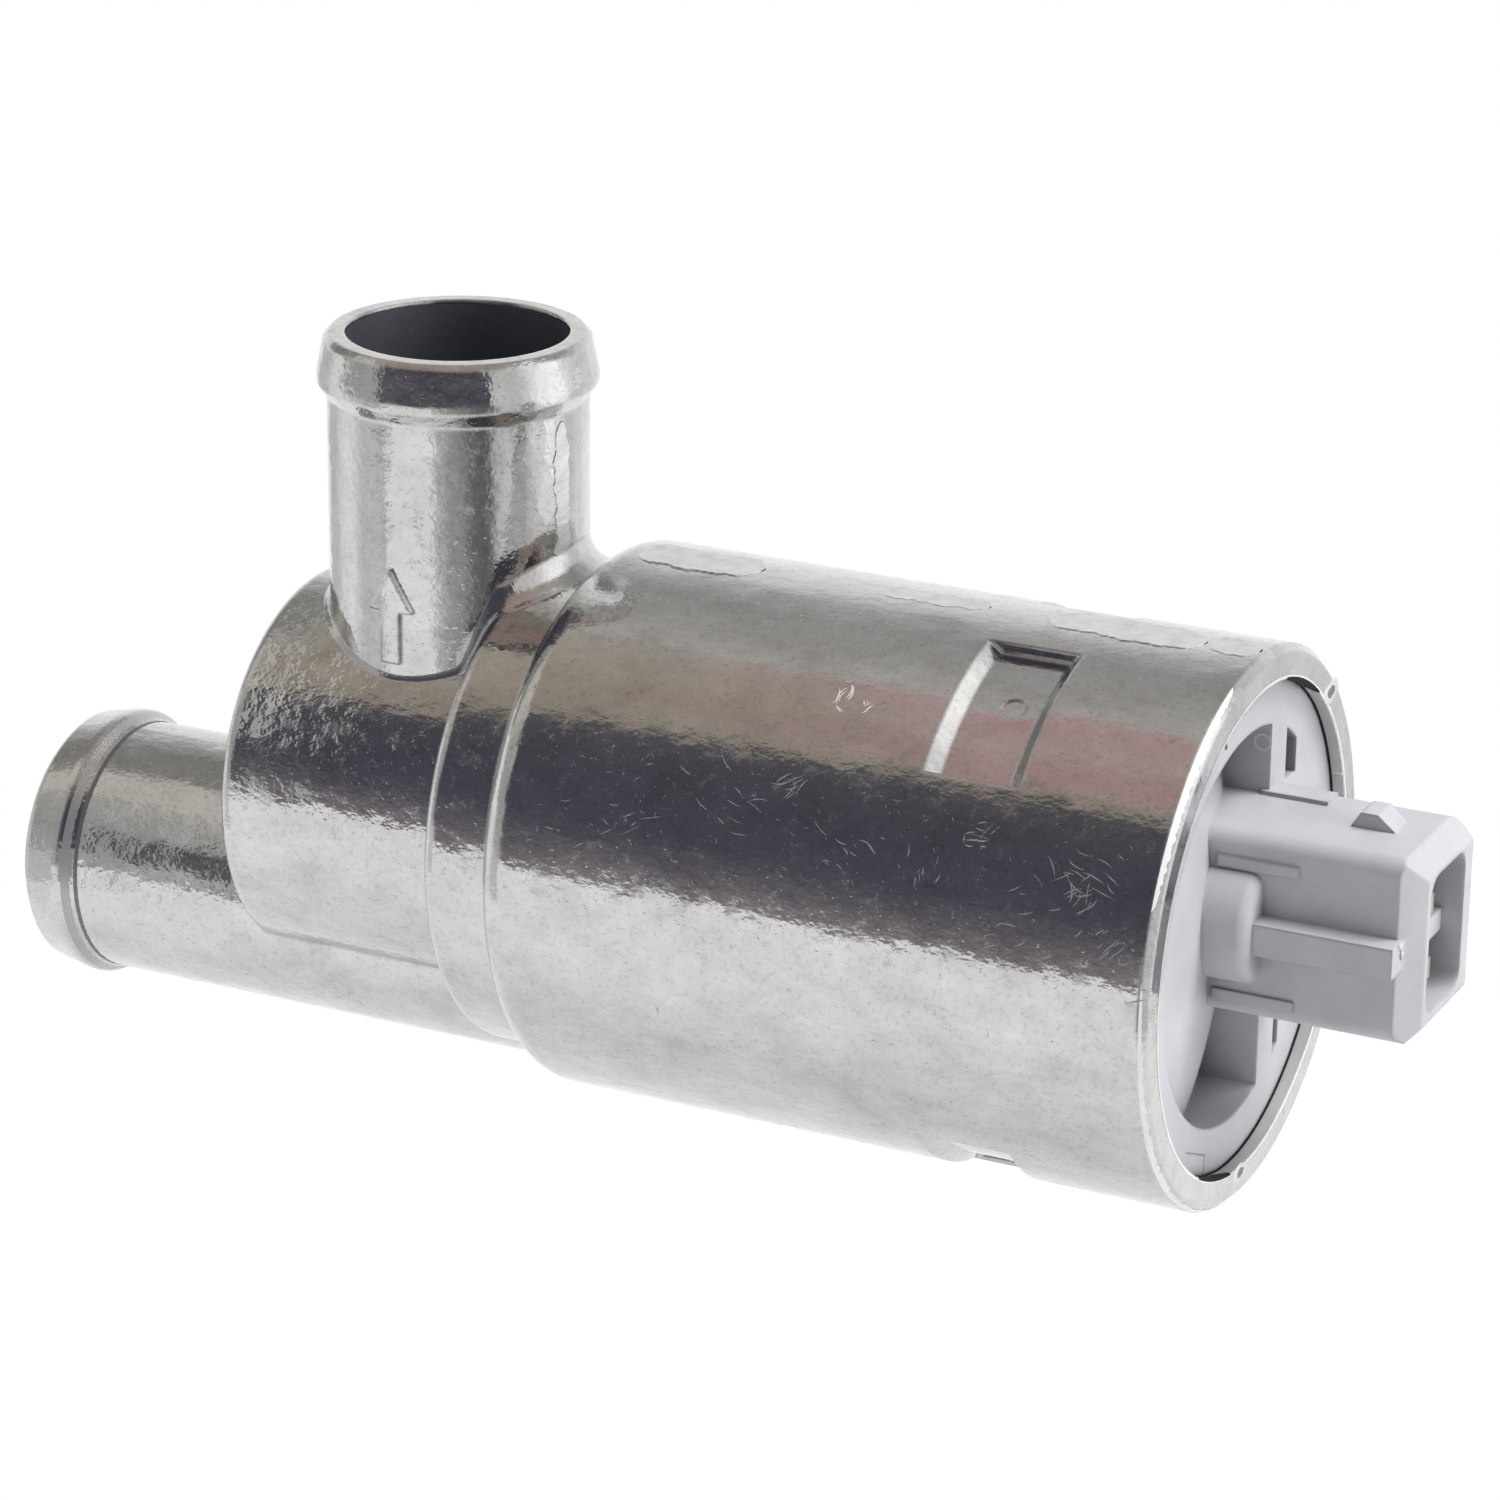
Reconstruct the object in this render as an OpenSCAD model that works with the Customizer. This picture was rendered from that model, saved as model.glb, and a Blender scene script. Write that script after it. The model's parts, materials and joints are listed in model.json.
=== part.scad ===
// Rotary idle air control valve with two hose nozzles and a two-pin connector.
// +X runs along the barrel towards the connector, +Z along the side nozzle.
// The origin is the middle of the plain barrel stretch that the strap holds, on the barrel axis.

/* [Barrel] */
// Outer radius of the barrel
barrel_r = 21.1; // [20:0.1:23]
// Thickness of the barrel's wall
barrel_wall = 2.55; // [2:0.05:3]
// Distance from the origin back to the step at the bottom of the barrel bore
bore_floor_back = 13.5; // [13:0.1:14]
// Distance from the origin back to the barrel's shoulder
shoulder_x = 17.4; // [16:0.1:20]
// Rounding of the shoulder's outer edge
shoulder_round = 2.4; // [1:0.1:3]
// Chamfer on the rim's outer edge
rim_chamfer = 0.6; // [0.2:0.1:1]

/* [Barrel recesses] */
// Length of a sunk panel along the barrel
recess_len = 7.5; // [5:0.1:9]
// Distance from the rim to the panel's near edge
recess_from_rim = 12.3; // [8:0.1:13]
// Depth of the panel
recess_depth = 1.0; // [0.5:0.1:1.4]
// Width of the bevel along each side of the panel
recess_bevel = 1.05; // [0.5:0.05:1.5]
// Angle above the parting plane where the panel starts
recess_low_deg = 42; // [35:1:50]
// Angle above the parting plane where the panel ends
recess_high_deg = 77.5; // [70:0.5:80]
// Radius of the ejector mark in the panel
ejector_r = 0.95; // [0.5:0.05:1.5]

/* [Collar and chamber] */
// Step from the barrel down to the collar
collar_step = 2.1; // [1.5:0.1:3]
// Length of the collar
collar_len = 5.6; // [3:0.1:8]
// Outer radius of the valve chamber
chamber_r = 15.3; // [14.8:0.1:16]
// Length of the chamber from its end face to the collar
chamber_len = 20; // [20:0.1:24]
// Bore radius of the chamber
chamber_bore_r = 11.8; // [11.5:0.1:12.2]
// Thickness of the chamber's end wall
chamber_end_wall = 2.6; // [2:0.1:3]
// Rounding of the chamber's and collar's edges
casting_round = 1.1; // [0.5:0.1:1.5]

/* [Hose nozzles] */
// Outer radius of both nozzle tubes
tube_r = 10; // [9.6:0.1:10.4]
// Bore radius of both nozzles
nozzle_bore_r = 8.55; // [8:0.05:8.8]
// Radius of the hose bead at its crest
bead_r = 10.75; // [10.5:0.05:11.2]
// Distance from the tip to the bead's crest
bead_crest = 3.35; // [2:0.05:4.5]
// Length of the flat land on the bead's crest
bead_land = 0.6; // [0.4:0.1:1]
// Length of the bead's back slope
bead_back = 1.45; // [0.8:0.05:2]
// Radius of the nozzle's flat tip face
tip_face_r = 9.75; // [9:0.05:10]
// Radius of the bead's flare just below the tip face
tip_flare_r = 10.2; // [10:0.05:10.5]
// Length of the rounding between the tip face and the flare
tip_round = 0.45; // [0.2:0.05:1]
// Distance from the origin back to the side nozzle's axis
side_nozzle_x = 30; // [29:0.1:31]
// Height of the side nozzle's tip above the barrel axis
side_nozzle_top = 36.4; // [34:0.1:42]
// Drop of the end nozzle's axis below the barrel axis
end_nozzle_drop = 10.7; // [10.2:0.1:11]
// Length of the end nozzle beyond the chamber's end face
end_nozzle_len = 21.7; // [18:0.1:30]

/* [Flow arrow] */
// Length of the raised arrow on the side nozzle
arrow_len = 7.4; // [5:0.1:9]
// Height of the arrow's tip above the barrel axis
arrow_tip_z = 20.2; // [19:0.1:24]
// Half width of the arrow's head
arrow_head_half = 1.9; // [1:0.1:2.5]
// Half width of the arrow's shaft
arrow_shaft_half = 0.8; // [0.4:0.1:1.2]
// Length of the arrow's head
arrow_head_len = 3.3; // [2:0.1:4]
// Height of the arrow above the tube
arrow_relief = 0.35; // [0.2:0.05:0.6]

/* [Valve passage] */
// Thickness of the wall between chamber bore and duct
duct_wall = 1.4; // [1:0.1:1.8]
// Length of the port between duct and chamber
port_len = 8; // [6:0.5:8]
// Half angle of the port seen along the axis
port_half_deg = 17; // [10:1:20]

/* [End cap] */
// Depth of the cap's face below the rim
cap_recess = 1.1; // [0.6:0.1:1.5]
// Running gap between the cap and the barrel bore
cap_gap = 0.1; // [0.05:0.05:0.2]
// Thickness of the cap's disc
cap_disc = 6.2; // [6:0.1:7]
// Length of the cap's skirt behind its disc
skirt_len = 11; // [10:0.1:13]
// Thickness of the cap's skirt
skirt_wall = 2.85; // [2.5:0.05:3.2]
// Width of the cap's ring outside the moulded pocket
cap_ring = 3.45; // [3:0.05:4.4]
// Distance from the barrel axis to the pocket's flat wall
pocket_wall_y = 4.5; // [4:0.1:5]
// Radius of the pocket's domed floor
pocket_dome_r = 58; // [56:1:70]
// Distance from the barrel axis to the dome's crest
pocket_crest_y = 13.4; // [12:0.1:14]
// Radius of the section of the seal ring
seal_r = 0.86; // [0.8:0.01:0.9]
// Width of the seal's groove in the skirt
seal_groove_w = 2; // [1.9:0.1:2.2]
// Distance from the disc back to the far side of the seal's groove
seal_groove_back = 4.6; // [4:0.1:6]
// Width of the core slot beside the connector
slot_w = 2.1; // [1.5:0.1:2.4]
// Depth of the core slot
slot_depth = 4; // [3:0.1:4.5]

/* [Connector] */
// Reach of the connector beyond the barrel rim
conn_reach = 13.7; // [12:0.1:16]
// Width of the connector shell
conn_w = 11.5; // [11:0.1:12]
// Height of the connector shell
conn_h = 14.2; // [13.5:0.1:15]
// Sideways offset of the connector from the barrel axis
conn_y = 1.65; // [1.4:0.05:1.9]
// Height of the connector above the barrel axis
conn_z = 1.8; // [1.5:0.1:2]
// Rounding along the shell's edges
conn_round = 1.3; // [0.8:0.1:1.8]
// Length of the bevel round the shell's mouth
mouth_bevel = 1.5; // [1:0.1:2]
// How far the mouth's bevel cuts into the top
mouth_bevel_top = 1.9; // [1:0.1:2.2]
// How far the mouth's bevel cuts into the bottom
mouth_bevel_low = 0.9; // [0.5:0.1:1.2]
// How far the mouth's bevel cuts into the side towards the rib
mouth_bevel_side = 2.1; // [1:0.1:2.4]
// Width of the socket
socket_w = 7.3; // [6.8:0.1:7.6]
// Height of the socket
socket_h = 10.8; // [10:0.1:11]
// Rounding of the socket's corners
socket_round = 1.5; // [1:0.1:2]
// Depth of the socket from the mouth
socket_depth = 13.2; // [11:0.1:13.6]
// Height of the guide rib on the shell's side
rib_h = 2.4; // [1.8:0.1:3]
// How far the guide rib stands out
rib_out = 2; // [1:0.1:2.4]
// Radius of the boss at the rib's root
boss_r = 4.5; // [4.2:0.1:5]
// How far the boss stands out of the shell's side
boss_out = 3.2; // [2.6:0.1:3.4]
// Length of the boss beyond the cap's face
boss_len = 3.1; // [2:0.1:4]
// Width of the latch wedge on the shell's top
latch_w = 2.7; // [2.5:0.1:4]
// Height of the latch wedge
latch_h = 1.15; // [0.8:0.05:1.5]
// Distance from the cap's face to the latch wedge
latch_from_face = 7.6; // [6:0.1:8]

/* [Terminals] */
// Width of a blade terminal
blade_w = 2.8; // [2.4:0.1:3]
// Thickness of a blade terminal
blade_t = 0.8; // [0.6:0.1:1]
// Distance between the two blades
blade_pitch = 5; // [4.6:0.1:5.4]
// Distance from the mouth down to the blade tips
blade_setback = 1.5; // [1:0.1:3]
// How far the blades reach inside the cap
blade_tail = 2; // [1.5:0.1:2.2]
// Radius of a lead wire
lead_r = 0.55; // [0.4:0.05:0.7]

/* [Motor] */
// Radial gap between a fixed motor part and the barrel bore
seat_gap = 0.1; // [0.05:0.05:0.15]
// Length of the stator stack
stator_len = 21; // [18:0.5:22]
// Thickness of the stator's ring
stator_ring_t = 1.95; // [1.7:0.05:2.2]
// Share of the room between shaft and stator ring that the rotor takes
rotor_share = 0.48; // [0.47:0.005:0.49]
// Thickness of a pole shoe
pole_shoe = 1.3; // [1:0.1:1.4]
// Half angle of a pole shoe
pole_half_deg = 50; // [40:1:52]
// Width of a pole's neck
pole_neck_w = 8.4; // [7:0.1:9]
// Thickness of the bobbin's walls
bobbin_wall = 0.7; // [0.6:0.05:0.8]
// Thickness of the winding beside the neck
coil_build = 2.3; // [2:0.1:2.4]
// Height of the winding
coil_h = 2.3; // [2:0.1:2.4]
// Thickness of the bearing plates
plate_t = 1.5; // [1:0.1:1.8]
// Depth of the bearing plates' rims
plate_rim = 3.7; // [3.5:0.1:4]
// Outer radius of the plates' bearing hubs
hub_r = 8; // [7.8:0.1:8.1]

/* [Rotor] */
// Radius of the shaft
shaft_r = 2.5; // [2.4:0.05:2.5]
// Radial gap between rotor magnet and pole faces
air_gap = 0.4; // [0.3:0.05:0.5]
// Wall between the shaft and the ring magnet's bore
hub_wall = 2.5; // [2:0.1:3]
// How far the ring magnet ends inside the stator
magnet_inset = 0.5; // [0.2:0.1:1.5]
// Radial gap between the rotary slide and the chamber bore
slide_gap = 0.3; // [0.25:0.05:0.4]
// Thickness of the slide's sector
slide_wall = 2; // [1.5:0.1:2.5]
// Length of the slide's sector
slide_len = 13; // [11:0.5:13.5]
// Angle from straight down to the slide's leading edge at rest
slide_lead_deg = -9; // [-12:1:-6]
// Angle from straight down to the slide's trailing edge at rest
slide_trail_deg = 62; // [50:1:66]
// Travel of the rotor from stop to stop
travel_deg = 60; // [50:1:60]

/* [Ball bearings] */
// Outer radius of both ball bearings
bearing_r = 6.5; // [6.4:0.05:6.5]
// Width of both ball bearings
bearing_w = 4; // [3.8:0.1:4]
// Radius of a ball
ball_r = 1.05; // [1:0.01:1.08]
// Radius of the ball circle
ball_circle_r = 4.55; // [4.5:0.01:4.6]
// Number of balls in a bearing
ball_count = 8; // [6:1:9]
// Gap between a ball and its groove
ball_gap = 0.05; // [0.03:0.01:0.06]

/* [Return spring and stops] */
// Width of the return spring's strip
spring_w = 2.2; // [1.8:0.1:2.4]
// Thickness of the return spring's strip
spring_t = 0.35; // [0.3:0.05:0.4]
// Number of turns of the return spring
spring_turns = 4; // [3:0.5:5]
// Outer radius of the return spring
spring_r = 8.2; // [8:0.1:8.4]
// Outer radius of the collet that holds the spring
collet_r = 3.7; // [3.4:0.1:4]
// Radius of a stop pin
stop_r = 0.9; // [0.8:0.05:1]
// Distance from the shaft to a stop pin
stop_circle_r = 7.6; // [7.5:0.1:7.8]
// Width of the stop arm
stop_arm_w = 2.4; // [2:0.1:2.6]
// Gap left between the stop arm and a stop pin
stop_gap = 0.25; // [0.2:0.05:0.3]

/* [Hidden] */
$fn = 96;
// Overlap that lets a cutter pass through a face
cut = 0.5;
// Radial clearance of a running shaft
run_gap = 0.05;
// Press clearance between two fixed pieces
press_gap = 0.01;
barrel_bore_r = barrel_r - barrel_wall;
collar_r = barrel_r - collar_step;
fixed_r = barrel_bore_r - seat_gap;
cap_r = barrel_bore_r - cap_gap;
skirt_bore_r = cap_r - skirt_wall;
pocket_r = cap_r - cap_ring;
stator_ring_r = fixed_r - stator_ring_t;
pole_face_r = shaft_r + rotor_share * (stator_ring_r - shaft_r);
magnet_len = stator_len - 2 * magnet_inset;
collar_x = shoulder_x + collar_len;
chamber_end_x = collar_x + chamber_len;
end_tip_x = chamber_end_x + end_nozzle_len;
// Motor stack, set out from the step at the bottom of the barrel bore
bore_floor_x = -bore_floor_back;
front_rim_x = bore_floor_x + plate_t + plate_rim;
stator_x = front_rim_x;
stator_end_x = stator_x + stator_len;
rear_plate_x = stator_end_x + plate_rim;
rear_plate_end_x = rear_plate_x + plate_t;
// The cap closes the stack, and the rim stands just past the cap
cap_back_x = rear_plate_end_x + skirt_len;
cap_face_x = cap_back_x + cap_disc;
rim_x = cap_face_x + cap_recess;
mouth_x = rim_x + conn_reach;
socket_floor_x = mouth_x - socket_depth;
conn_side_y = conn_y - conn_w / 2;
conn_top_z = conn_z + conn_h / 2;
conn_low_z = conn_z - conn_h / 2;
// The socket sits closer to the shell's far and upper walls
socket_y = conn_y + 0.6;
socket_z = conn_z - 0.3;
front_hub_len = bearing_w + 1.6;
front_bearing_x = bore_floor_x + plate_t - 0.4 - bearing_w;
rear_bearing_x = rear_plate_x + 0.6;
rear_hub_len = bearing_w + 0.6 - plate_t + 0.5;
magnet_x = stator_x + (stator_len - magnet_len) / 2;
magnet_bore_r = shaft_r + hub_wall;
magnet_r = pole_face_r - air_gap;
hub_over = 0.6;
spring_x = rear_plate_end_x + rear_hub_len + 0.6;
shaft_end_x = spring_x + spring_w + 1.2;
chamber_floor_x = -(chamber_end_x - chamber_end_wall);
slide_x = chamber_floor_x + 1.6;
slide_hub_len = 5;
slide_web_t = 2;
slide_hub_r = shaft_r + 2;
slide_r = chamber_bore_r - slide_gap;
shaft_start_x = slide_x + slide_len - slide_hub_len - 1.8;
post_r = 0.9;
// Radius on which the spring's post stands, just outside the spring
post_circle_r = spring_r + post_r;
lead_y = pole_neck_w / 2;
lead_z = pole_face_r + pole_shoe + bobbin_wall + coil_h / 2;
seal_groove_x = cap_back_x - seal_groove_back;
// Gap that keeps the seal ring's outside just clear of the barrel bore
seal_gap = 0.03;
seal_ring_r = barrel_bore_r - seal_gap - seal_r;
// The crescent under the chamber is a touch narrower than the end nozzle's bore
crescent_step = 0.2;
// How much the crescent narrows towards its closed end
crescent_draft = 0.5;
blade_upper_z = socket_z + blade_pitch / 2 - 0.45;
blade_lower_z = socket_z - blade_pitch / 2 - 0.45;
blade_tail_x = cap_back_x - blade_tail;
stop_len = 2.6;
stop_arm_t = 1.6;
// How far the stop arm reaches past the pins' middle
arm_over = 0.5;
plate_inner_x = bore_floor_x + plate_t;
stop_arm_x = plate_inner_x + 0.6;
// Angle between the stop arm's middle and a pin's middle when they nearly touch
stop_lead = asin((stop_arm_w / 2 + stop_r + stop_gap) / stop_circle_r);

// Turns a plan in Y and Z into a solid along +X
module along_x(x0, len)
    translate([x0, 0, 0]) rotate([90, 0, 90]) linear_extrude(len) children();

// Revolves a profile of radius and distance along X about the barrel axis
module about_x(a = 360, from = 0)
    rotate([90, 0, 90]) rotate([0, 0, from]) rotate_extrude(angle = a) children();

module rod(x0, len, r)
    translate([x0, 0, 0]) rotate([0, 90, 0]) cylinder(r = r, h = len);

module tube_x(x0, len, r_out, r_in)
    difference() {
        rod(x0, len, r_out);
        rod(x0 - cut, len + 2 * cut, r_in);
    }

// Rectangle with round corners, from exact circles
module round_rect(w, h, r)
    union() {
        square([w - 2 * r, h], center = true);
        square([w, h - 2 * r], center = true);
        for (sx = [-1, 1], sy = [-1, 1])
            translate([sx * (w / 2 - r), sy * (h / 2 - r)]) circle(r = r);
    }

// Profile of a solid disc with its low-x outer edge rounded
module round_edge_profile(r, x0, x1, e)
    union() {
        translate([0, x0 + e]) square([r, x1 - x0 - e]);
        translate([0, x0]) square([r - e, x1 - x0]);
        translate([r - e, x0 + e]) circle(r = e);
    }

// Hose nozzle from its root at 0 to its tip at len, along +Z
module nozzle_outside(len)
    rotate_extrude() polygon([
        [0, 0], [tube_r, 0],
        [tube_r, len - bead_crest - bead_back],
        [bead_r, len - bead_crest - bead_land / 2],
        [bead_r, len - bead_crest + bead_land / 2],
        [tip_flare_r, len - tip_round],
        [tip_face_r, len],
        [0, len]]);

module nozzle_bore(len)
    translate([0, 0, -cut]) cylinder(r = nozzle_bore_r, h = len + 2 * cut);

module at_side_nozzle()
    translate([-side_nozzle_x, 0, 0]) children();

module at_end_nozzle()
    translate([0, 0, -end_nozzle_drop]) rotate([0, -90, 0]) children();

// Four sunk panels, two on each side of the parting plane
module barrel_recesses() {
    mark_deg = 61;
    mark_depth = 0.15;
    mark_x = rim_x - recess_from_rim - recess_len / 2 + 0.6;
    rotate([180 - mark_deg, 0, 0]) translate([mark_x, barrel_r - recess_depth - mark_depth, 0])
        rotate([-90, 0, 0]) cylinder(r = ejector_r, h = 2);
    far_x = rim_x - recess_from_rim;
    near_x = far_x - recess_len;
    floor_r = barrel_r - recess_depth;
    top_r = barrel_r + recess_depth;
    slope = recess_bevel;
    for (from = [recess_low_deg, 180 - recess_high_deg, 180 + recess_low_deg, 360 - recess_high_deg])
        about_x(recess_high_deg - recess_low_deg, from) polygon([
            [floor_r, near_x + slope], [floor_r, far_x - slope],
            [top_r, far_x + slope], [top_r, near_x - slope]]);
}

// Raised arrow that points up the side nozzle, part of the casting
module flow_arrow() {
    tail_z = arrow_tip_z - arrow_len;
    neck_z = arrow_tip_z - arrow_head_len;
    at_side_nozzle() intersection() {
        cylinder(r = tube_r + arrow_relief, h = arrow_tip_z + 1);
        translate([-0.3, -tube_r + 1, 0]) rotate([90, 0, 0]) linear_extrude(3) polygon([
            [0, arrow_tip_z], [arrow_head_half, neck_z], [arrow_shaft_half, neck_z],
            [arrow_shaft_half, tail_z], [-arrow_shaft_half, tail_z],
            [-arrow_shaft_half, neck_z], [-arrow_head_half, neck_z]]);
    }
}

// Round end nozzle bore that turns into a crescent under the chamber
module end_passage() {
    bore_end = chamber_end_x + 0.5;
    at_end_nozzle() translate([0, 0, bore_end])
        cylinder(r = nozzle_bore_r, h = end_tip_x - bore_end + cut);
    difference() {
        at_end_nozzle() translate([0, 0, collar_x + 0.5])
            cylinder(r1 = nozzle_bore_r - crescent_step - crescent_draft,
                r2 = nozzle_bore_r - crescent_step, h = chamber_len + 0.5);
        rod(-chamber_end_x - 2, chamber_len + 4, chamber_bore_r + duct_wall);
    }
}

// Port through the wall between the chamber bore and the duct
module valve_port() {
    mid_x = -side_nozzle_x;
    about_x(2 * port_half_deg, 270 - port_half_deg)
        translate([chamber_bore_r - cut, mid_x - port_len / 2])
            square([duct_wall + 1.4 * cut, port_len]);
}

module housing() {
    color([0.72, 0.72, 0.71])
    difference() {
        union() {
            about_x() difference() {
                round_edge_profile(barrel_r, -shoulder_x, rim_x, shoulder_round);
                polygon([[barrel_r - rim_chamfer, rim_x], [barrel_r + 1, rim_x - rim_chamfer - 1],
                    [barrel_r + 1, rim_x + 1], [barrel_r - rim_chamfer, rim_x + 1]]);
            }
            about_x() round_edge_profile(collar_r, -collar_x, -shoulder_x + 4, casting_round);
            about_x() round_edge_profile(chamber_r, -chamber_end_x, -collar_x + 2, casting_round);
            at_side_nozzle() nozzle_outside(side_nozzle_top);
            at_end_nozzle() translate([0, 0, collar_x - 2]) nozzle_outside(end_tip_x - collar_x + 2);
            flow_arrow();
        }
        barrel_recesses();
        rod(bore_floor_x, rim_x - bore_floor_x + cut, barrel_bore_r);
        rod(chamber_floor_x, bore_floor_x - chamber_floor_x + cut, chamber_bore_r);
        at_side_nozzle() translate([0, 0, chamber_bore_r - 6]) nozzle_bore(side_nozzle_top);
        end_passage();
        valve_port();
    }
}

// Cutter for the D-shaped pocket with its domed floor
module cap_pocket() {
    depth = 6;
    difference() {
        along_x(cap_face_x - depth, depth + cut) intersection() {
            circle(r = pocket_r);
            translate([-pocket_r - 1, -pocket_r - 1])
                square([pocket_r + 1 + pocket_wall_y, 2 * pocket_r + 2]);
        }
        translate([cap_face_x - pocket_dome_r, -pocket_crest_y, 0]) sphere(r = pocket_dome_r, $fn = 180);
    }
}

// Narrow core slots above and below the connector, inside the pocket's radius
module cap_slots() {
    slot_y = conn_y + conn_w / 2 + 0.3;
    along_x(cap_face_x - slot_depth, slot_depth + cut) intersection() {
        circle(r = pocket_r + 0.15);
        union() {
            translate([slot_y, conn_top_z]) square([slot_w, pocket_r]);
            translate([slot_y, conn_low_z - pocket_r]) square([slot_w * 0.45, pocket_r]);
        }
    }
}

// Connector shell with a bevelled mouth
module connector_outside() {
    shell_len = mouth_x - cap_back_x - 1;
    translate([0, conn_y, conn_z]) intersection() {
        along_x(cap_back_x + 1, shell_len) round_rect(conn_w, conn_h, conn_round);
        union() {
            translate([cap_back_x, -conn_w, -conn_h])
                cube([mouth_x - mouth_bevel - cap_back_x, 2 * conn_w, 2 * conn_h]);
            mouth_taper();
        }
    }
}

// Bevel on three sides of the mouth: the two long ends and the side towards the rib
module mouth_taper() {
    base_x = mouth_x - mouth_bevel;
    intersection() {
        rotate([90, 0, 0]) translate([0, 0, -conn_w]) linear_extrude(2 * conn_w) polygon([
            [base_x - 1, -conn_h / 2], [base_x + mouth_bevel - mouth_bevel_low, -conn_h / 2],
            [mouth_x, -conn_h / 2 + mouth_bevel_low], [mouth_x, conn_h / 2 - mouth_bevel_top],
            [base_x, conn_h / 2], [base_x - 1, conn_h / 2]]);
        translate([0, 0, -conn_h]) linear_extrude(2 * conn_h) polygon([
            [base_x - 1, -conn_w / 2], [base_x, -conn_w / 2], [mouth_x, -conn_w / 2 + mouth_bevel_side],
            [mouth_x, conn_w], [base_x - 1, conn_w]]);
    }
}

// Guide rib with the boss at its root, and the faint pads beside them
module connector_rib() {
    rib_end = mouth_x - mouth_bevel + 0.4;
    root_x = cap_back_x + 1.5;
    translate([root_x, conn_side_y - rib_out, conn_z - rib_h / 2])
        cube([rib_end - root_x, rib_out + 1, rib_h]);
    boss_y = conn_side_y - boss_out + boss_r;
    difference() {
        translate([0, boss_y, conn_z]) union() {
            rod(root_x, cap_face_x + boss_len - 1 - root_x, boss_r);
            rod(root_x, cap_face_x + boss_len - root_x, boss_r - 1);
            translate([cap_face_x + boss_len - 1, 0, 0]) rotate([90, 0, 90])
                rotate_extrude() translate([boss_r - 1, 0]) circle(r = 1, $fn = 48);
        }
        translate([root_x - 1, conn_side_y + 1, conn_z - boss_r - 1])
            cube([boss_len + cap_disc + 4, 2 * boss_r, 2 * boss_r + 2]);
    }
    pad_len = 6.3;
    for (z = [conn_z + 4.9, conn_z - 5.5])
        translate([cap_face_x - 0.5, conn_side_y - 0.2, z - 0.45]) cube([pad_len, 1, 0.9]);
}

// Latch wedge and low pad on the shell's top
module connector_latch() {
    foot_x = cap_face_x + latch_from_face;
    translate([0, conn_y + latch_w - 0.55, conn_top_z - 0.5]) rotate([90, 0, 0])
        linear_extrude(latch_w) polygon([
            [foot_x, 0], [foot_x + 3.4, 0], [foot_x + 3.4, 0.5],
            [foot_x + 2, latch_h + 0.5], [foot_x + 0.7, latch_h + 0.5], [foot_x, 0.5]]);
    translate([cap_face_x - 0.5, conn_y + conn_w / 2 - conn_round - 2, conn_top_z - 0.5])
        cube([5.2, 2.2, 0.8]);
}

module end_cap() {
    color([0.79, 0.8, 0.82])
    difference() {
        union() {
            difference() {
                rod(rear_plate_end_x, cap_face_x - rear_plate_end_x, cap_r);
                rod(rear_plate_end_x - cut, cap_back_x - rear_plate_end_x + cut, skirt_bore_r);
                cap_pocket();
                about_x() translate([seal_ring_r - seal_r, seal_groove_x])
                    square([2 * seal_r + cut, seal_groove_w]);
            }
            connector_outside();
            connector_rib();
            connector_latch();
        }
        cap_slots();
        translate([0, socket_y, socket_z]) along_x(socket_floor_x, socket_depth + cut)
            round_rect(socket_w, socket_h, socket_round);
        for (z = [blade_upper_z, blade_lower_z])
            translate([cap_back_x - 1, socket_y - blade_t / 2 - press_gap, z - blade_w / 2 - press_gap])
                cube([socket_floor_x - cap_back_x + 2, blade_t + 2 * press_gap, blade_w + 2 * press_gap]);
    }
}

module cap_seal()
    color([0.12, 0.12, 0.13])
    about_x() translate([seal_ring_r, seal_groove_x + seal_groove_w / 2]) circle(r = seal_r, $fn = 48);

// Flat blade with a chamfered tip that reaches from inside the cap to near the mouth
module terminal(z) {
    tip_x = mouth_x - blade_setback;
    color([0.82, 0.78, 0.66])
    translate([0, socket_y + blade_t / 2, z]) rotate([90, 0, 0]) linear_extrude(blade_t) polygon([
        [blade_tail_x, -blade_w / 2], [tip_x - 1.2, -blade_w / 2], [tip_x, -blade_w / 2 + 0.8],
        [tip_x, blade_w / 2 - 0.8], [tip_x - 1.2, blade_w / 2], [blade_tail_x, blade_w / 2]]);
}

module terminal_upper() terminal(blade_upper_z);

module terminal_lower() terminal(blade_lower_z);

// Wire from the end of a winding along the motor, then across to its blade
module lead(side, blade_z) {
    start_x = stator_end_x + bobbin_wall + coil_build;
    turn_x = blade_tail_x + 0.6;
    turn = [turn_x, lead_y, side * lead_z];
    reach = [0, socket_y + blade_t / 2 + lead_r - lead_y, blade_z - side * lead_z];
    span = norm(reach);
    color([0.75, 0.2, 0.15]) {
        translate([start_x, lead_y, side * lead_z]) rotate([0, 90, 0])
            cylinder(r = lead_r, h = turn_x - start_x, $fn = 24);
        translate(turn) sphere(r = lead_r, $fn = 24);
        translate(turn) rotate([atan2(-reach[1], reach[2]), 0, 0])
            cylinder(r = lead_r, h = span, $fn = 24);
    }
}

module lead_upper() lead(1, blade_upper_z);

module lead_lower() lead(-1, blade_lower_z);

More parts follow.
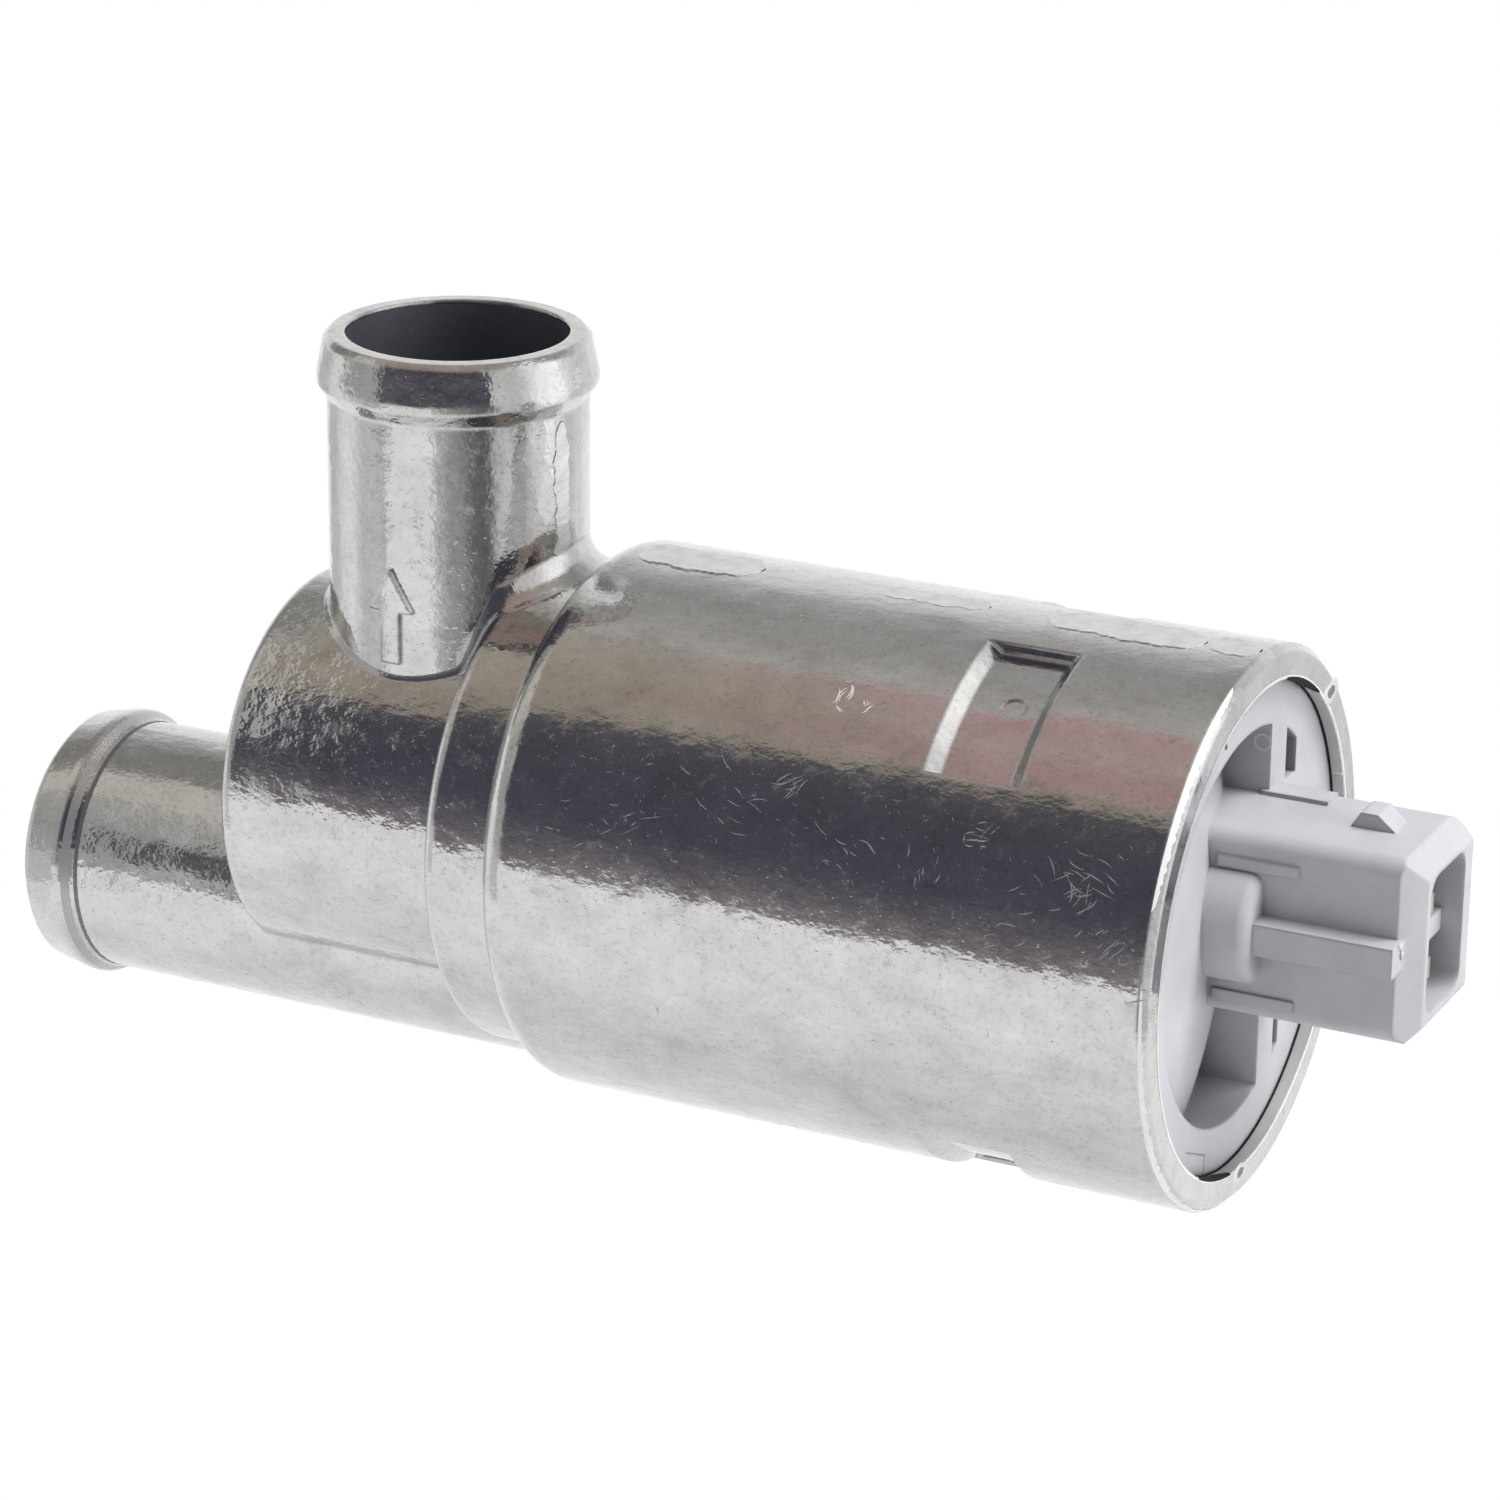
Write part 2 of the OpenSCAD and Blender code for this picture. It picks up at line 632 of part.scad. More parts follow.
// Laminated stator: a ring with two poles whose shoes curve round the rotor
module stator_core() {
    color([0.45, 0.46, 0.48])
    along_x(stator_x, stator_len) difference() {
        union() {
            difference() {
                circle(r = fixed_r);
                circle(r = stator_ring_r);
            }
            for (s = [-1, 1])
                translate([-pole_neck_w / 2, s > 0 ? 0 : -stator_ring_r - 0.5])
                    square([pole_neck_w, stator_ring_r + 0.5]);
            intersection() {
                circle(r = pole_face_r + pole_shoe);
                for (s = [-1, 1])
                    polygon([[0, 0], [-2 * pole_face_r * tan(pole_half_deg), s * 2 * pole_face_r],
                        [2 * pole_face_r * tan(pole_half_deg), s * 2 * pole_face_r]]);
            }
        }
        circle(r = pole_face_r);
    }
}

// Rectangular plan round a pole's neck, in the plane of the barrel axis and Y
module neck_plan(grow)
    translate([stator_x + stator_len / 2, 0])
        square([stator_len + 2 * grow, pole_neck_w + 2 * grow], center = true);

module bobbin(side) {
    shoe_top = pole_face_r + pole_shoe;
    flange = bobbin_wall + coil_build;
    color([0.9, 0.87, 0.78])
    mirror([0, 0, side > 0 ? 0 : 1]) translate([0, 0, shoe_top]) difference() {
        union() {
            linear_extrude(2 * bobbin_wall + coil_h) neck_plan(bobbin_wall);
            linear_extrude(bobbin_wall) neck_plan(flange - 0.3);
            translate([0, 0, bobbin_wall + coil_h]) linear_extrude(bobbin_wall) neck_plan(flange - 0.6);
        }
        translate([0, 0, -1]) linear_extrude(coil_h + 4) neck_plan(press_gap);
    }
}

module bobbin_upper() bobbin(1);

module bobbin_lower() bobbin(-1);

// Winding with rounded corners between the bobbin's flanges
module coil(side) {
    z0 = pole_face_r + pole_shoe + bobbin_wall;
    grow = bobbin_wall + coil_build;
    color([0.72, 0.4, 0.2])
    mirror([0, 0, side > 0 ? 0 : 1]) translate([0, 0, z0]) linear_extrude(coil_h) difference() {
        translate([stator_x + stator_len / 2, 0])
            round_rect(stator_len + 2 * grow, pole_neck_w + 2 * grow, coil_build);
        neck_plan(bobbin_wall + press_gap);
    }
}

module coil_upper() coil(1);

module coil_lower() coil(-1);

// Pressed cup with a hub that holds a ball bearing
module bearing_plate(front) {
    disc_x = front ? bore_floor_x : rear_plate_x;
    rim_start = front ? plate_inner_x : stator_end_x;
    hub_x = front ? bore_floor_x - front_hub_len + plate_t : rear_plate_x;
    hub_end = front ? plate_inner_x : rear_plate_end_x + rear_hub_len;
    pocket_x = front ? front_bearing_x : rear_bearing_x;
    color([0.66, 0.67, 0.69])
    difference() {
        union() {
            rod(disc_x, plate_t, fixed_r);
            tube_x(rim_start, plate_rim, fixed_r, stator_ring_r + 0.2);
            rod(hub_x, hub_end - hub_x, hub_r);
        }
        rod(pocket_x, bearing_w, bearing_r + press_gap);
        rod(hub_x - cut, hub_end - hub_x + 2 * cut, ball_circle_r);
        if (front) {
            rod(pocket_x + bearing_w - 0.01, 2 * plate_t, bearing_r + press_gap);
            for (angle = [-stop_lead, travel_deg + stop_lead])
                rotate([angle, 0, 0]) translate([0, 0, -stop_circle_r])
                    rod(disc_x - cut, plate_t + 2 * cut, stop_r + press_gap);
        }
        if (!front) {
            rod(pocket_x - plate_t - cut, plate_t + cut + 0.01, bearing_r + press_gap);
            for (s = [-1, 1])
                translate([0, lead_y, s * lead_z]) rod(disc_x - cut, plate_t + 2 * cut, lead_r + 0.5);
            translate([0, 0, post_circle_r]) rod(disc_x - cut, plate_t + 2 * cut, post_r + press_gap);
        }
    }
}

module front_bearing_plate() bearing_plate(true);

module rear_bearing_plate() bearing_plate(false);

module ball_groove(x0)
    about_x() translate([ball_circle_r, x0 + bearing_w / 2]) circle(r = ball_r + ball_gap, $fn = 48);

module bearing_outer(x0)
    color([0.8, 0.8, 0.82]) difference() {
        tube_x(x0, bearing_w, bearing_r, ball_circle_r + 0.6);
        ball_groove(x0);
    }

module bearing_inner(x0)
    color([0.8, 0.8, 0.82]) difference() {
        tube_x(x0, bearing_w, ball_circle_r - 0.6, shaft_r + press_gap);
        ball_groove(x0);
    }

module bearing_balls(x0)
    color([0.85, 0.85, 0.87])
    for (k = [0 : ball_count - 1])
        translate([x0 + bearing_w / 2, 0, 0]) rotate([k * 360 / ball_count, 0, 0])
            translate([0, 0, ball_circle_r]) sphere(r = ball_r, $fn = 24);

module front_bearing_outer_ring() bearing_outer(front_bearing_x);

module front_bearing_balls() bearing_balls(front_bearing_x);

module front_bearing_inner_ring() bearing_inner(front_bearing_x);

module rear_bearing_outer_ring() bearing_outer(rear_bearing_x);

module rear_bearing_balls() bearing_balls(rear_bearing_x);

module rear_bearing_inner_ring() bearing_inner(rear_bearing_x);

// Lip seal in front of the bearing, towards the valve chamber
module shaft_seal() {
    seal_w = 1.4;
    hub_x = bore_floor_x - front_hub_len + plate_t;
    color([0.15, 0.15, 0.16])
    difference() {
        union() {
            rod(hub_x - seal_w, seal_w, hub_r - 1);
            rod(hub_x - 0.01, front_bearing_x - hub_x, ball_circle_r - press_gap);
        }
        rod(hub_x - seal_w - cut, seal_w + 3, shaft_r + run_gap);
    }
}

// Pin pressed into the front plate that stops the arm at one end of the travel
module stop_pin(angle)
    color([0.78, 0.78, 0.8])
    rotate([angle, 0, 0]) translate([0, 0, -stop_circle_r])
        rod(bore_floor_x, plate_t + stop_len, stop_r);

module stop_pin_closed() stop_pin(-stop_lead);

module stop_pin_open() stop_pin(travel_deg + stop_lead);

// Post on the rear plate that holds the spring's outer end
module spring_post()
    color([0.78, 0.78, 0.8])
    translate([0, 0, post_circle_r]) rod(rear_plate_x, spring_x + spring_w - rear_plate_x, post_r);

module rotor_shaft()
    color([0.82, 0.82, 0.84])
    difference() {
        rod(shaft_start_x, shaft_end_x - shaft_start_x, shaft_r);
        tube_x(shaft_start_x + 0.6, 0.7, shaft_r + 1, shaft_r - 0.4);
    }

module rotor_hub()
    color([0.62, 0.63, 0.65])
    tube_x(magnet_x - hub_over, magnet_len + 2 * hub_over, magnet_bore_r - press_gap, shaft_r + press_gap);

module rotor_magnet()
    color([0.25, 0.25, 0.27])
    tube_x(magnet_x, magnet_len, magnet_r, magnet_bore_r);

// Sector that sweeps across the port, carried on the shaft by a web and a hub
module rotary_slide() {
    web_x = slide_x + slide_len - slide_web_t;
    hub_x = slide_x + slide_len - slide_hub_len;
    span = slide_trail_deg - slide_lead_deg;
    color([0.6, 0.61, 0.62])
    difference() {
        union() {
            about_x(span, 270 + slide_lead_deg)
                translate([slide_r - slide_wall, slide_x]) square([slide_wall, slide_len]);
            about_x(span, 270 + slide_lead_deg)
                translate([0.5, web_x]) square([slide_r - 0.5 - slide_wall / 2, slide_web_t]);
            rod(hub_x, slide_hub_len, slide_hub_r);
        }
        rod(hub_x - cut, slide_hub_len + 2 * cut, shaft_r + press_gap);
    }
}

// Open snap ring in the shaft's groove that keeps the slide on
module slide_circlip()
    color([0.5, 0.5, 0.52])
    about_x(290, 125) translate([shaft_r - 0.38, shaft_start_x + 0.62]) square([1.3, 0.66]);

// Arm on the shaft that meets the stop pins
module stop_arm()
    color([0.7, 0.7, 0.72])
    difference() {
        union() {
            rod(stop_arm_x, stop_arm_t, shaft_r + 1.4);
            translate([stop_arm_x, -stop_arm_w / 2, -stop_circle_r - arm_over])
                cube([stop_arm_t, stop_arm_w, stop_circle_r + arm_over - shaft_r - 0.5]);
        }
        rod(stop_arm_x - cut, stop_arm_t + 2 * cut, shaft_r + press_gap);
    }

module spring_collet()
    color([0.76, 0.66, 0.36])
    tube_x(spring_x - 0.3, spring_w + 0.6, collet_r - press_gap, shaft_r + press_gap);

// Clock spring from the collet out to the post
module return_spring() {
    steps = 28;
    count = spring_turns * steps;
    grow = (spring_r - spring_t - collet_r) / count;
    // The outer end lies beside the post, straight up
    function bend(k) = 90 + (k - count) * 360 / steps;
    function outer(k) = (collet_r + spring_t + grow * k) * [cos(bend(k)), sin(bend(k))];
    function inner(k) = (collet_r + grow * k) * [cos(bend(k)), sin(bend(k))];
    color([0.35, 0.38, 0.45])
    along_x(spring_x, spring_w) polygon(concat(
        [for (k = [0 : count]) inner(k)],
        [for (k = [count : -1 : 0]) outer(k)]));
}

housing();
end_cap();
cap_seal();
terminal_upper();
terminal_lower();
lead_upper();
lead_lower();
stator_core();
bobbin_upper();
bobbin_lower();
coil_upper();
coil_lower();
front_bearing_plate();
rear_bearing_plate();
front_bearing_outer_ring();
front_bearing_balls();
front_bearing_inner_ring();
rear_bearing_outer_ring();
rear_bearing_balls();
rear_bearing_inner_ring();
shaft_seal();
stop_pin_closed();
stop_pin_open();
spring_post();
rotor_shaft();
rotor_hub();
rotor_magnet();
rotary_slide();
slide_circlip();
stop_arm();
spring_collet();
return_spring();
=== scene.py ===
import json
import math
import random

import bpy
from mathutils import Matrix, Vector


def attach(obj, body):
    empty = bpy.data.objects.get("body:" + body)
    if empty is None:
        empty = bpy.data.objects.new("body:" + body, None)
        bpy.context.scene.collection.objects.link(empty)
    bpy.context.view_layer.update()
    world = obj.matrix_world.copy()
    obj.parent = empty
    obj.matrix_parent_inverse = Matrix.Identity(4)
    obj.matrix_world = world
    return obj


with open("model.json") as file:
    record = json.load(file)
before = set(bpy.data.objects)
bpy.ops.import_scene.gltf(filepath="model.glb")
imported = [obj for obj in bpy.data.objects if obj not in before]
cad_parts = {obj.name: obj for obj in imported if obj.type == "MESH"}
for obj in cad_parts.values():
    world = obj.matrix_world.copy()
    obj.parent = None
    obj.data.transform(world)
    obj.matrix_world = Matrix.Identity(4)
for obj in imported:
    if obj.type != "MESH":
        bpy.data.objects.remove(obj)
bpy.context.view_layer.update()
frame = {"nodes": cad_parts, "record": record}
nodes = frame["nodes"]

# Sizes and places of the CAD model, in millimetres, and a millimetre in metres
MM = 0.001
BARREL_R = 21.1
COLLAR_R = 19.0
CHAMBER_R = 15.3
TUBE_R = 10.0
BORE_R = 18.55
SIDE_BORE_R = 8.52
NOZZLE_X = -30.0
COLLAR_X = -23.0
RIM_X = 36.2
CAP_X = 35.1
DUCT_Z = -10.7
PANEL_X = (15.5, 25)
PANEL_DEG = (40, 80)

# The photograph and the camera fitted to it
PHOTO_PX = 1500
FOCAL_PX = 5227.156
CENTRE_PX = 762
SENSOR_MM = 36
CAMERA_AT = (159.014, -332.626, 143.969)
AZIMUTH_DEG = 26.1046
ELEVATION_DEG = 20.4241
ROLL_DEG = -0.6181

# Distances in the studio, in metres
FLOOR_Z = -0.12
ROOM_R = 0.82
SIDE_CARD_R = 0.30


# Shader helpers
def new_material(name):
    mat = bpy.data.materials.new(name)
    mat.use_nodes = True
    tree = mat.node_tree
    return mat, tree, tree.nodes["Principled BSDF"]


def feed(tree, socket, value):
    """Sets the socket to a number, or links another node's output to it."""
    if isinstance(value, (int, float)):
        socket.default_value = value
    else:
        tree.links.new(value, socket)


def object_coords(tree):
    return tree.nodes.new("ShaderNodeTexCoord").outputs["Object"]


def object_axes(tree):
    """The outputs X, Y and Z of the object coordinates."""
    axes = tree.nodes.new("ShaderNodeSeparateXYZ")
    tree.links.new(object_coords(tree), axes.inputs[0])
    return axes.outputs


def stretched(tree, scale):
    mapping = tree.nodes.new("ShaderNodeMapping")
    mapping.inputs["Scale"].default_value = scale
    tree.links.new(object_coords(tree), mapping.inputs["Vector"])
    return mapping.outputs["Vector"]


def noise(tree, scale, detail, rough, coords):
    tex = tree.nodes.new("ShaderNodeTexNoise")
    tex.inputs["Scale"].default_value = scale
    tex.inputs["Detail"].default_value = detail
    tex.inputs["Roughness"].default_value = rough
    tree.links.new(coords, tex.inputs["Vector"])
    return tex.outputs["Fac"]


def even(value):
    return (value, value, value)


def ramp(tree, source, stops):
    """A colour ramp; stops are (position, colour) pairs in rising order."""
    node = tree.nodes.new("ShaderNodeValToRGB")
    points = node.color_ramp.elements
    for point, (position, colour) in zip(points, (stops[0], stops[-1])):
        point.position = position
        point.color = (*colour, 1)
    for position, colour in stops[1:-1]:
        points.new(position).color = (*colour, 1)
    tree.links.new(source, node.inputs["Fac"])
    return node.outputs["Color"]


def map_range(tree, source, start, end, low=0.0, high=1.0, kind="LINEAR"):
    """Low where the source is at start, high where it is at end, and held there beyond."""
    node = tree.nodes.new("ShaderNodeMapRange")
    node.interpolation_type = kind
    node.inputs["From Min"].default_value = start
    node.inputs["From Max"].default_value = end
    node.inputs["To Min"].default_value = low
    node.inputs["To Max"].default_value = high
    tree.links.new(source, node.inputs["Value"])
    return node.outputs[0]


def calculate(tree, operation, first, second):
    node = tree.nodes.new("ShaderNodeMath")
    node.operation = operation
    feed(tree, node.inputs[0], first)
    feed(tree, node.inputs[1], second)
    return node.outputs[0]


def multiplied(tree, first, second):
    """Two colours multiplied."""
    node = tree.nodes.new("ShaderNodeMixRGB")
    node.blend_type = "MULTIPLY"
    node.inputs["Fac"].default_value = 1.0
    tree.links.new(first, node.inputs["Color1"])
    tree.links.new(second, node.inputs["Color2"])
    return node.outputs["Color"]


def soft_edges(tree, radius):
    node = tree.nodes.new("ShaderNodeBevel")
    node.samples = 6
    node.inputs["Radius"].default_value = radius
    return node.outputs["Normal"]


def bump(tree, height, strength, distance, before=None):
    """A bump on top of the normal that comes before it."""
    node = tree.nodes.new("ShaderNodeBump")
    feed(tree, node.inputs["Strength"], strength)
    node.inputs["Distance"].default_value = distance
    tree.links.new(height, node.inputs["Height"])
    if before is not None:
        tree.links.new(before, node.inputs["Normal"])
    return node.outputs["Normal"]


def mix_to_surface(tree, share, first, second):
    """The surface goes from the first shader to the second one as share goes from 0 to 1."""
    mix = tree.nodes.new("ShaderNodeMixShader")
    for socket, value in zip(mix.inputs, (share, first, second)):
        tree.links.new(value, socket)
    tree.links.new(mix.outputs[0], tree.nodes["Material Output"].inputs["Surface"])


# Materials
def cast_metal():
    """Bright tumbled casting: mirror-like skin with shallow waves, jagged ripples, pits and faint stains."""
    mat, tree, bsdf = new_material("cast aluminium")
    at = object_coords(tree)
    stains = ramp(tree, noise(tree, 260, 8, 0.78, stretched(tree, (0.7, 1, 1))), [
        (0.30, (0.52, 0.51, 0.495)), (0.46, (0.62, 0.615, 0.605)), (0.68, (0.72, 0.72, 0.72))])
    specks = ramp(tree, noise(tree, 2600, 4, 0.7, at), [(0.26, (0.72, 0.71, 0.69)), (0.46, even(1))])
    tree.links.new(multiplied(tree, stains, specks), bsdf.inputs["Base Color"])
    bsdf.inputs["Metallic"].default_value = 1.0
    rough = ramp(tree, noise(tree, 700, 6, 0.75, at), [
        (0.40, even(0.06)), (0.54, even(0.11)), (0.68, even(0.34))])
    tree.links.new(rough, bsdf.inputs["Roughness"])
    waves = bump(tree, noise(tree, 120, 2, 0.45, at), 1.0, 0.13 * MM, soft_edges(tree, 0.45 * MM))
    # The ripples are strong on the chamber and calm down across the collar
    strength = map_range(tree, object_axes(tree)["X"], (COLLAR_X - 4) * MM, (COLLAR_X + 4) * MM, 1.0, 0.55)
    ripples = noise(tree, 650, 3, 0.6, stretched(tree, (0.75, 1, 1)))
    rippled = bump(tree, ripples, strength, 0.09 * MM, waves)
    pits = ramp(tree, noise(tree, 2400, 3, 0.6, at), [(0.25, even(0)), (0.35, even(1))])
    tree.links.new(bump(tree, pits, 0.6, 0.02 * MM, rippled), bsdf.inputs["Normal"])
    return mat


def plain(name, color, rough, metallic=0.0, grain=0.0, grain_scale=1200):
    """A slightly uneven tone with softened edges, and where grain isn't 0 a fine bump of that depth."""
    mat, tree, bsdf = new_material(name)
    at = object_coords(tree)
    darker = tuple(c * 0.93 for c in color)
    lighter = tuple(min(1, c * 1.05) for c in color)
    tone = ramp(tree, noise(tree, 240, 4, 0.6, at), [(0.32, darker), (0.68, lighter)])
    tree.links.new(tone, bsdf.inputs["Base Color"])
    bsdf.inputs["Metallic"].default_value = metallic
    bsdf.inputs["Roughness"].default_value = rough
    normal = soft_edges(tree, 0.4 * MM)
    if grain:
        normal = bump(tree, noise(tree, grain_scale, 3, 0.55, at), 1.0, grain, normal)
    tree.links.new(normal, bsdf.inputs["Normal"])
    return mat


def painted_cavity_shade(mat):
    """Painted shade: darker deep in pockets and sockets, where little light comes."""
    tree = mat.node_tree
    base = tree.nodes["Principled BSDF"].inputs["Base Color"]
    openness = tree.nodes.new("ShaderNodeAmbientOcclusion")
    openness.samples = 6
    openness.inputs["Distance"].default_value = 5 * MM
    shade = ramp(tree, openness.outputs["AO"], [(0.1, even(0.42)), (0.48, even(1))])
    tree.links.new(multiplied(tree, base.links[0].from_socket, shade), base)
    return mat


def matt(mat):
    mat.node_tree.nodes["Principled BSDF"].inputs["Specular IOR Level"].default_value = 0.1
    return mat


def ground_metal():
    mat, tree, bsdf = new_material("ground seam")
    grit = noise(tree, 700, 5, 0.65, object_coords(tree))
    tone = ramp(tree, grit, [(0.3, (0.70, 0.70, 0.69)), (0.6, (0.86, 0.86, 0.86))])
    tree.links.new(tone, bsdf.inputs["Base Color"])
    bsdf.inputs["Metallic"].default_value = 0.9
    bsdf.inputs["Roughness"].default_value = 0.38
    tree.links.new(bump(tree, grit, 1.0, 0.06 * MM), bsdf.inputs["Normal"])
    return mat


def scratch_metal(name, tone):
    mat, _, bsdf = new_material(name)
    bsdf.inputs["Base Color"].default_value = (tone, tone, tone, 1)
    bsdf.inputs["Metallic"].default_value = 0.5
    bsdf.inputs["Roughness"].default_value = 0.5
    return mat


MATS = {
    "cast_aluminium": cast_metal(),
    # Grey plastic, with painted shade deep in its pockets and socket
    "cap_plastic": painted_cavity_shade(plain("grey plastic", (0.465, 0.470, 0.497), 0.45, 0, 0.01 * MM, 2500)),
    "seal_rubber": plain("black rubber", (0.03, 0.03, 0.03), 0.6),
    "terminal_metal": plain("tinned brass", (0.60, 0.54, 0.43), 0.4, 0.8),
    "lead_coat": plain("wire enamel", (0.45, 0.06, 0.04), 0.4),
    "core_steel": plain("core steel", (0.35, 0.35, 0.36), 0.35, 1.0),
    "bobbin_plastic": plain("bobbin plastic", (0.8, 0.76, 0.64), 0.45),
    "winding": plain("copper winding", (0.6, 0.26, 0.1), 0.35, 1.0),
    "plate_aluminium": plain("turned aluminium", (0.6, 0.61, 0.62), 0.28, 1.0),
    "bearing_steel": plain("ground steel", (0.65, 0.65, 0.67), 0.18, 1.0),
    "magnet": plain("sintered magnet", (0.1, 0.1, 0.11), 0.5),
    "collet_brass": plain("turned brass", (0.7, 0.55, 0.25), 0.28, 1.0),
    "spring_steel": plain("blued strip", (0.2, 0.22, 0.3), 0.3, 1.0),
}
GROUND = ground_metal()
# Nearly black, for painted shade in the rim's gaps and in its corner with the cap
PAINTED_GAP_SHADE = matt(plain("painted shade in gaps and corners", (0.022, 0.021, 0.022), 0.7))
DULL = plain("dull inner rim", (0.52, 0.52, 0.51), 0.5, 0.5, 0.06 * MM, 1700)
# Light, for painted highlights along the rim's edges
PAINTED_EDGE_HIGHLIGHT = plain("painted edge highlight", (0.80, 0.80, 0.80), 0.35, 0.35)
# A duller, darker metal, for painted shade on the end bead's slope
PAINTED_SLOPE_SHADE = plain("painted shade on a slope", (0.50, 0.495, 0.49), 0.33, 0.6)
# Dark, for painted shade in the bead's corner and in the staking pits
PAINTED_SHADE_LINE = plain("painted shade line", (0.22, 0.215, 0.22), 0.45, 0.7)
# Rough as-cast skin, darkened as painted shade in the side nozzle's bore
BORE_SKIN_AND_SHADE = plain("as-cast bore with painted shade", (0.17, 0.18, 0.205), 0.5, 0.75, 0.03 * MM)
PALE_MARK = plain("plastic burr", (0.62, 0.63, 0.645), 0.5)
DARK_MARK = plain("plastic scored line", (0.25, 0.26, 0.28), 0.5)
# A lighter copy of the grey plastic without its painted cavity shade: painted light
SOCKET_WALL_PAINTED_LIGHTER = plain("socket wall painted lighter", (0.52, 0.53, 0.555), 0.45)

slot_of = {part["node"]: part["material_slot"] for part in frame["record"]["subparts"]}
for name, obj in nodes.items():
    obj.data.materials.clear()
    obj.data.materials.append(MATS[slot_of[name]])


# Camera
def photo_camera():
    az, el, roll = (math.radians(a) for a in (AZIMUTH_DEG, ELEVATION_DEG, ROLL_DEG))
    ahead = Vector((-math.sin(az) * math.cos(el), math.cos(az) * math.cos(el), -math.sin(el)))
    level_right = ahead.cross(Vector((0, 0, 1))).normalized()
    level_down = ahead.cross(level_right)
    right = math.cos(roll) * level_right + math.sin(roll) * level_down
    down = -math.sin(roll) * level_right + math.cos(roll) * level_down
    turn = Matrix((right, -down, -ahead)).transposed()
    data = bpy.data.cameras.new("photo camera")
    data.sensor_fit = "HORIZONTAL"
    data.sensor_width = SENSOR_MM
    data.lens = FOCAL_PX / PHOTO_PX * SENSOR_MM
    shift = (CENTRE_PX - PHOTO_PX / 2) / PHOTO_PX
    data.shift_x = -shift
    data.shift_y = shift
    data.clip_start = 0.01
    data.clip_end = 20
    cam = bpy.data.objects.new("photo camera", data)
    bpy.context.scene.collection.objects.link(cam)
    cam.matrix_world = Matrix.Translation(Vector(CAMERA_AT) * MM) @ turn.to_4x4()
    bpy.context.scene.camera = cam


# Mesh helpers
def add_object(name, verts, faces, mat):
    mesh = bpy.data.meshes.new(name)
    mesh.from_pydata(verts, [], faces)
    mesh.materials.append(mat)
    obj = bpy.data.objects.new(name, mesh)
    bpy.context.scene.collection.objects.link(obj)
    return obj


def skin_object(name, verts, faces, mat, smooth=True):
    """A piece of skin detail that rides on the body; its points are in millimetres."""
    obj = add_object(name, [Vector(v) * MM for v in verts], faces, mat)
    obj.data.validate()
    obj.data.update()
    for poly in obj.data.polygons:
        poly.use_smooth = smooth
    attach(obj, "body")


def quad_rows(steps, across, start=0, closed=False):
    """Faces between rows that have across points each, from the point with the number start on.
    closed joins the last row to the first."""
    faces = []
    for k in range(steps):
        after = (k + 1) % steps if closed else k + 1
        for j in range(across - 1):
            i0 = start + k * across + j
            j0 = start + after * across + j
            faces.append((i0, i0 + 1, j0 + 1, j0))
    return faces


def round_x(x, r, a):
    """The point at x, at radius r from the X axis and at the angle a above the front, which is -Y."""
    return (x, -r * math.cos(a), r * math.sin(a))


def smoothstep(t):
    t = min(1.0, max(0.0, t))
    return t * t * (3 - 2 * t)


def arc_between(c, p, q, steps):
    """Points on the short arc round c from p to q."""
    u, v = p - c, q - c
    ang = u.angle(v)
    out = []
    for k in range(steps + 1):
        t = k / steps
        out.append(c + (u * math.sin((1 - t) * ang) + v * math.sin(t * ang)) / math.sin(ang))
    return out


# Side nozzle's foot
def nozzle_fillet():
    """Rolled fillet at the side nozzle's foot: small on the chamber, wider on the collar."""
    steps, turns = 8, 120
    small_ball, ball_growth = 0.75, 1.55
    foot_r, blend_from, blend_length = 11.5, COLLAR_X - 1.8, 3.0
    buried = 0.4
    hidden_r = CHAMBER_R - buried
    verts, faces = [], []
    for k in range(turns):
        a = 2 * math.pi * k / turns
        t = smoothstep((NOZZLE_X + foot_r * math.cos(a) - blend_from) / blend_length)
        ball = small_ball + ball_growth * t
        big = CHAMBER_R + (COLLAR_R - CHAMBER_R) * t
        cx, cy = NOZZLE_X + (TUBE_R + ball) * math.cos(a), (TUBE_R + ball) * math.sin(a)
        cz = math.sqrt((big + ball) ** 2 - cy * cy)
        p = Vector((NOZZLE_X + TUBE_R * math.cos(a), TUBE_R * math.sin(a), cz))
        q = Vector((cx, cy * big / (big + ball), cz * big / (big + ball)))
        row = arc_between(Vector((cx, cy, cz)), p, q, steps)
        # Both ends of the arc dip into the metal a little
        row[0] = p + Vector((-0.05 * math.cos(a), -0.05 * math.sin(a), 0.02))
        row[-1] = Vector((q.x, q.y * 0.997, q.z * 0.997))
        deep_r = TUBE_R - buried
        deep = Vector((NOZZLE_X + deep_r * math.cos(a), deep_r * math.sin(a), 0))
        deep.z = math.sqrt(hidden_r ** 2 - deep.y ** 2)
        low = Vector((q.x, q.y * hidden_r / big, q.z * hidden_r / big))
        verts += row + [low, deep]
    n = steps + 3
    for k in range(turns):
        k2 = (k + 1) % turns
        for j in range(n):
            j2 = (j + 1) % n
            faces.append((k * n + j, k2 * n + j, k2 * n + j2, k * n + j2))
    skin_object("nozzle_fillet", verts, faces, MATS["cast_aluminium"])


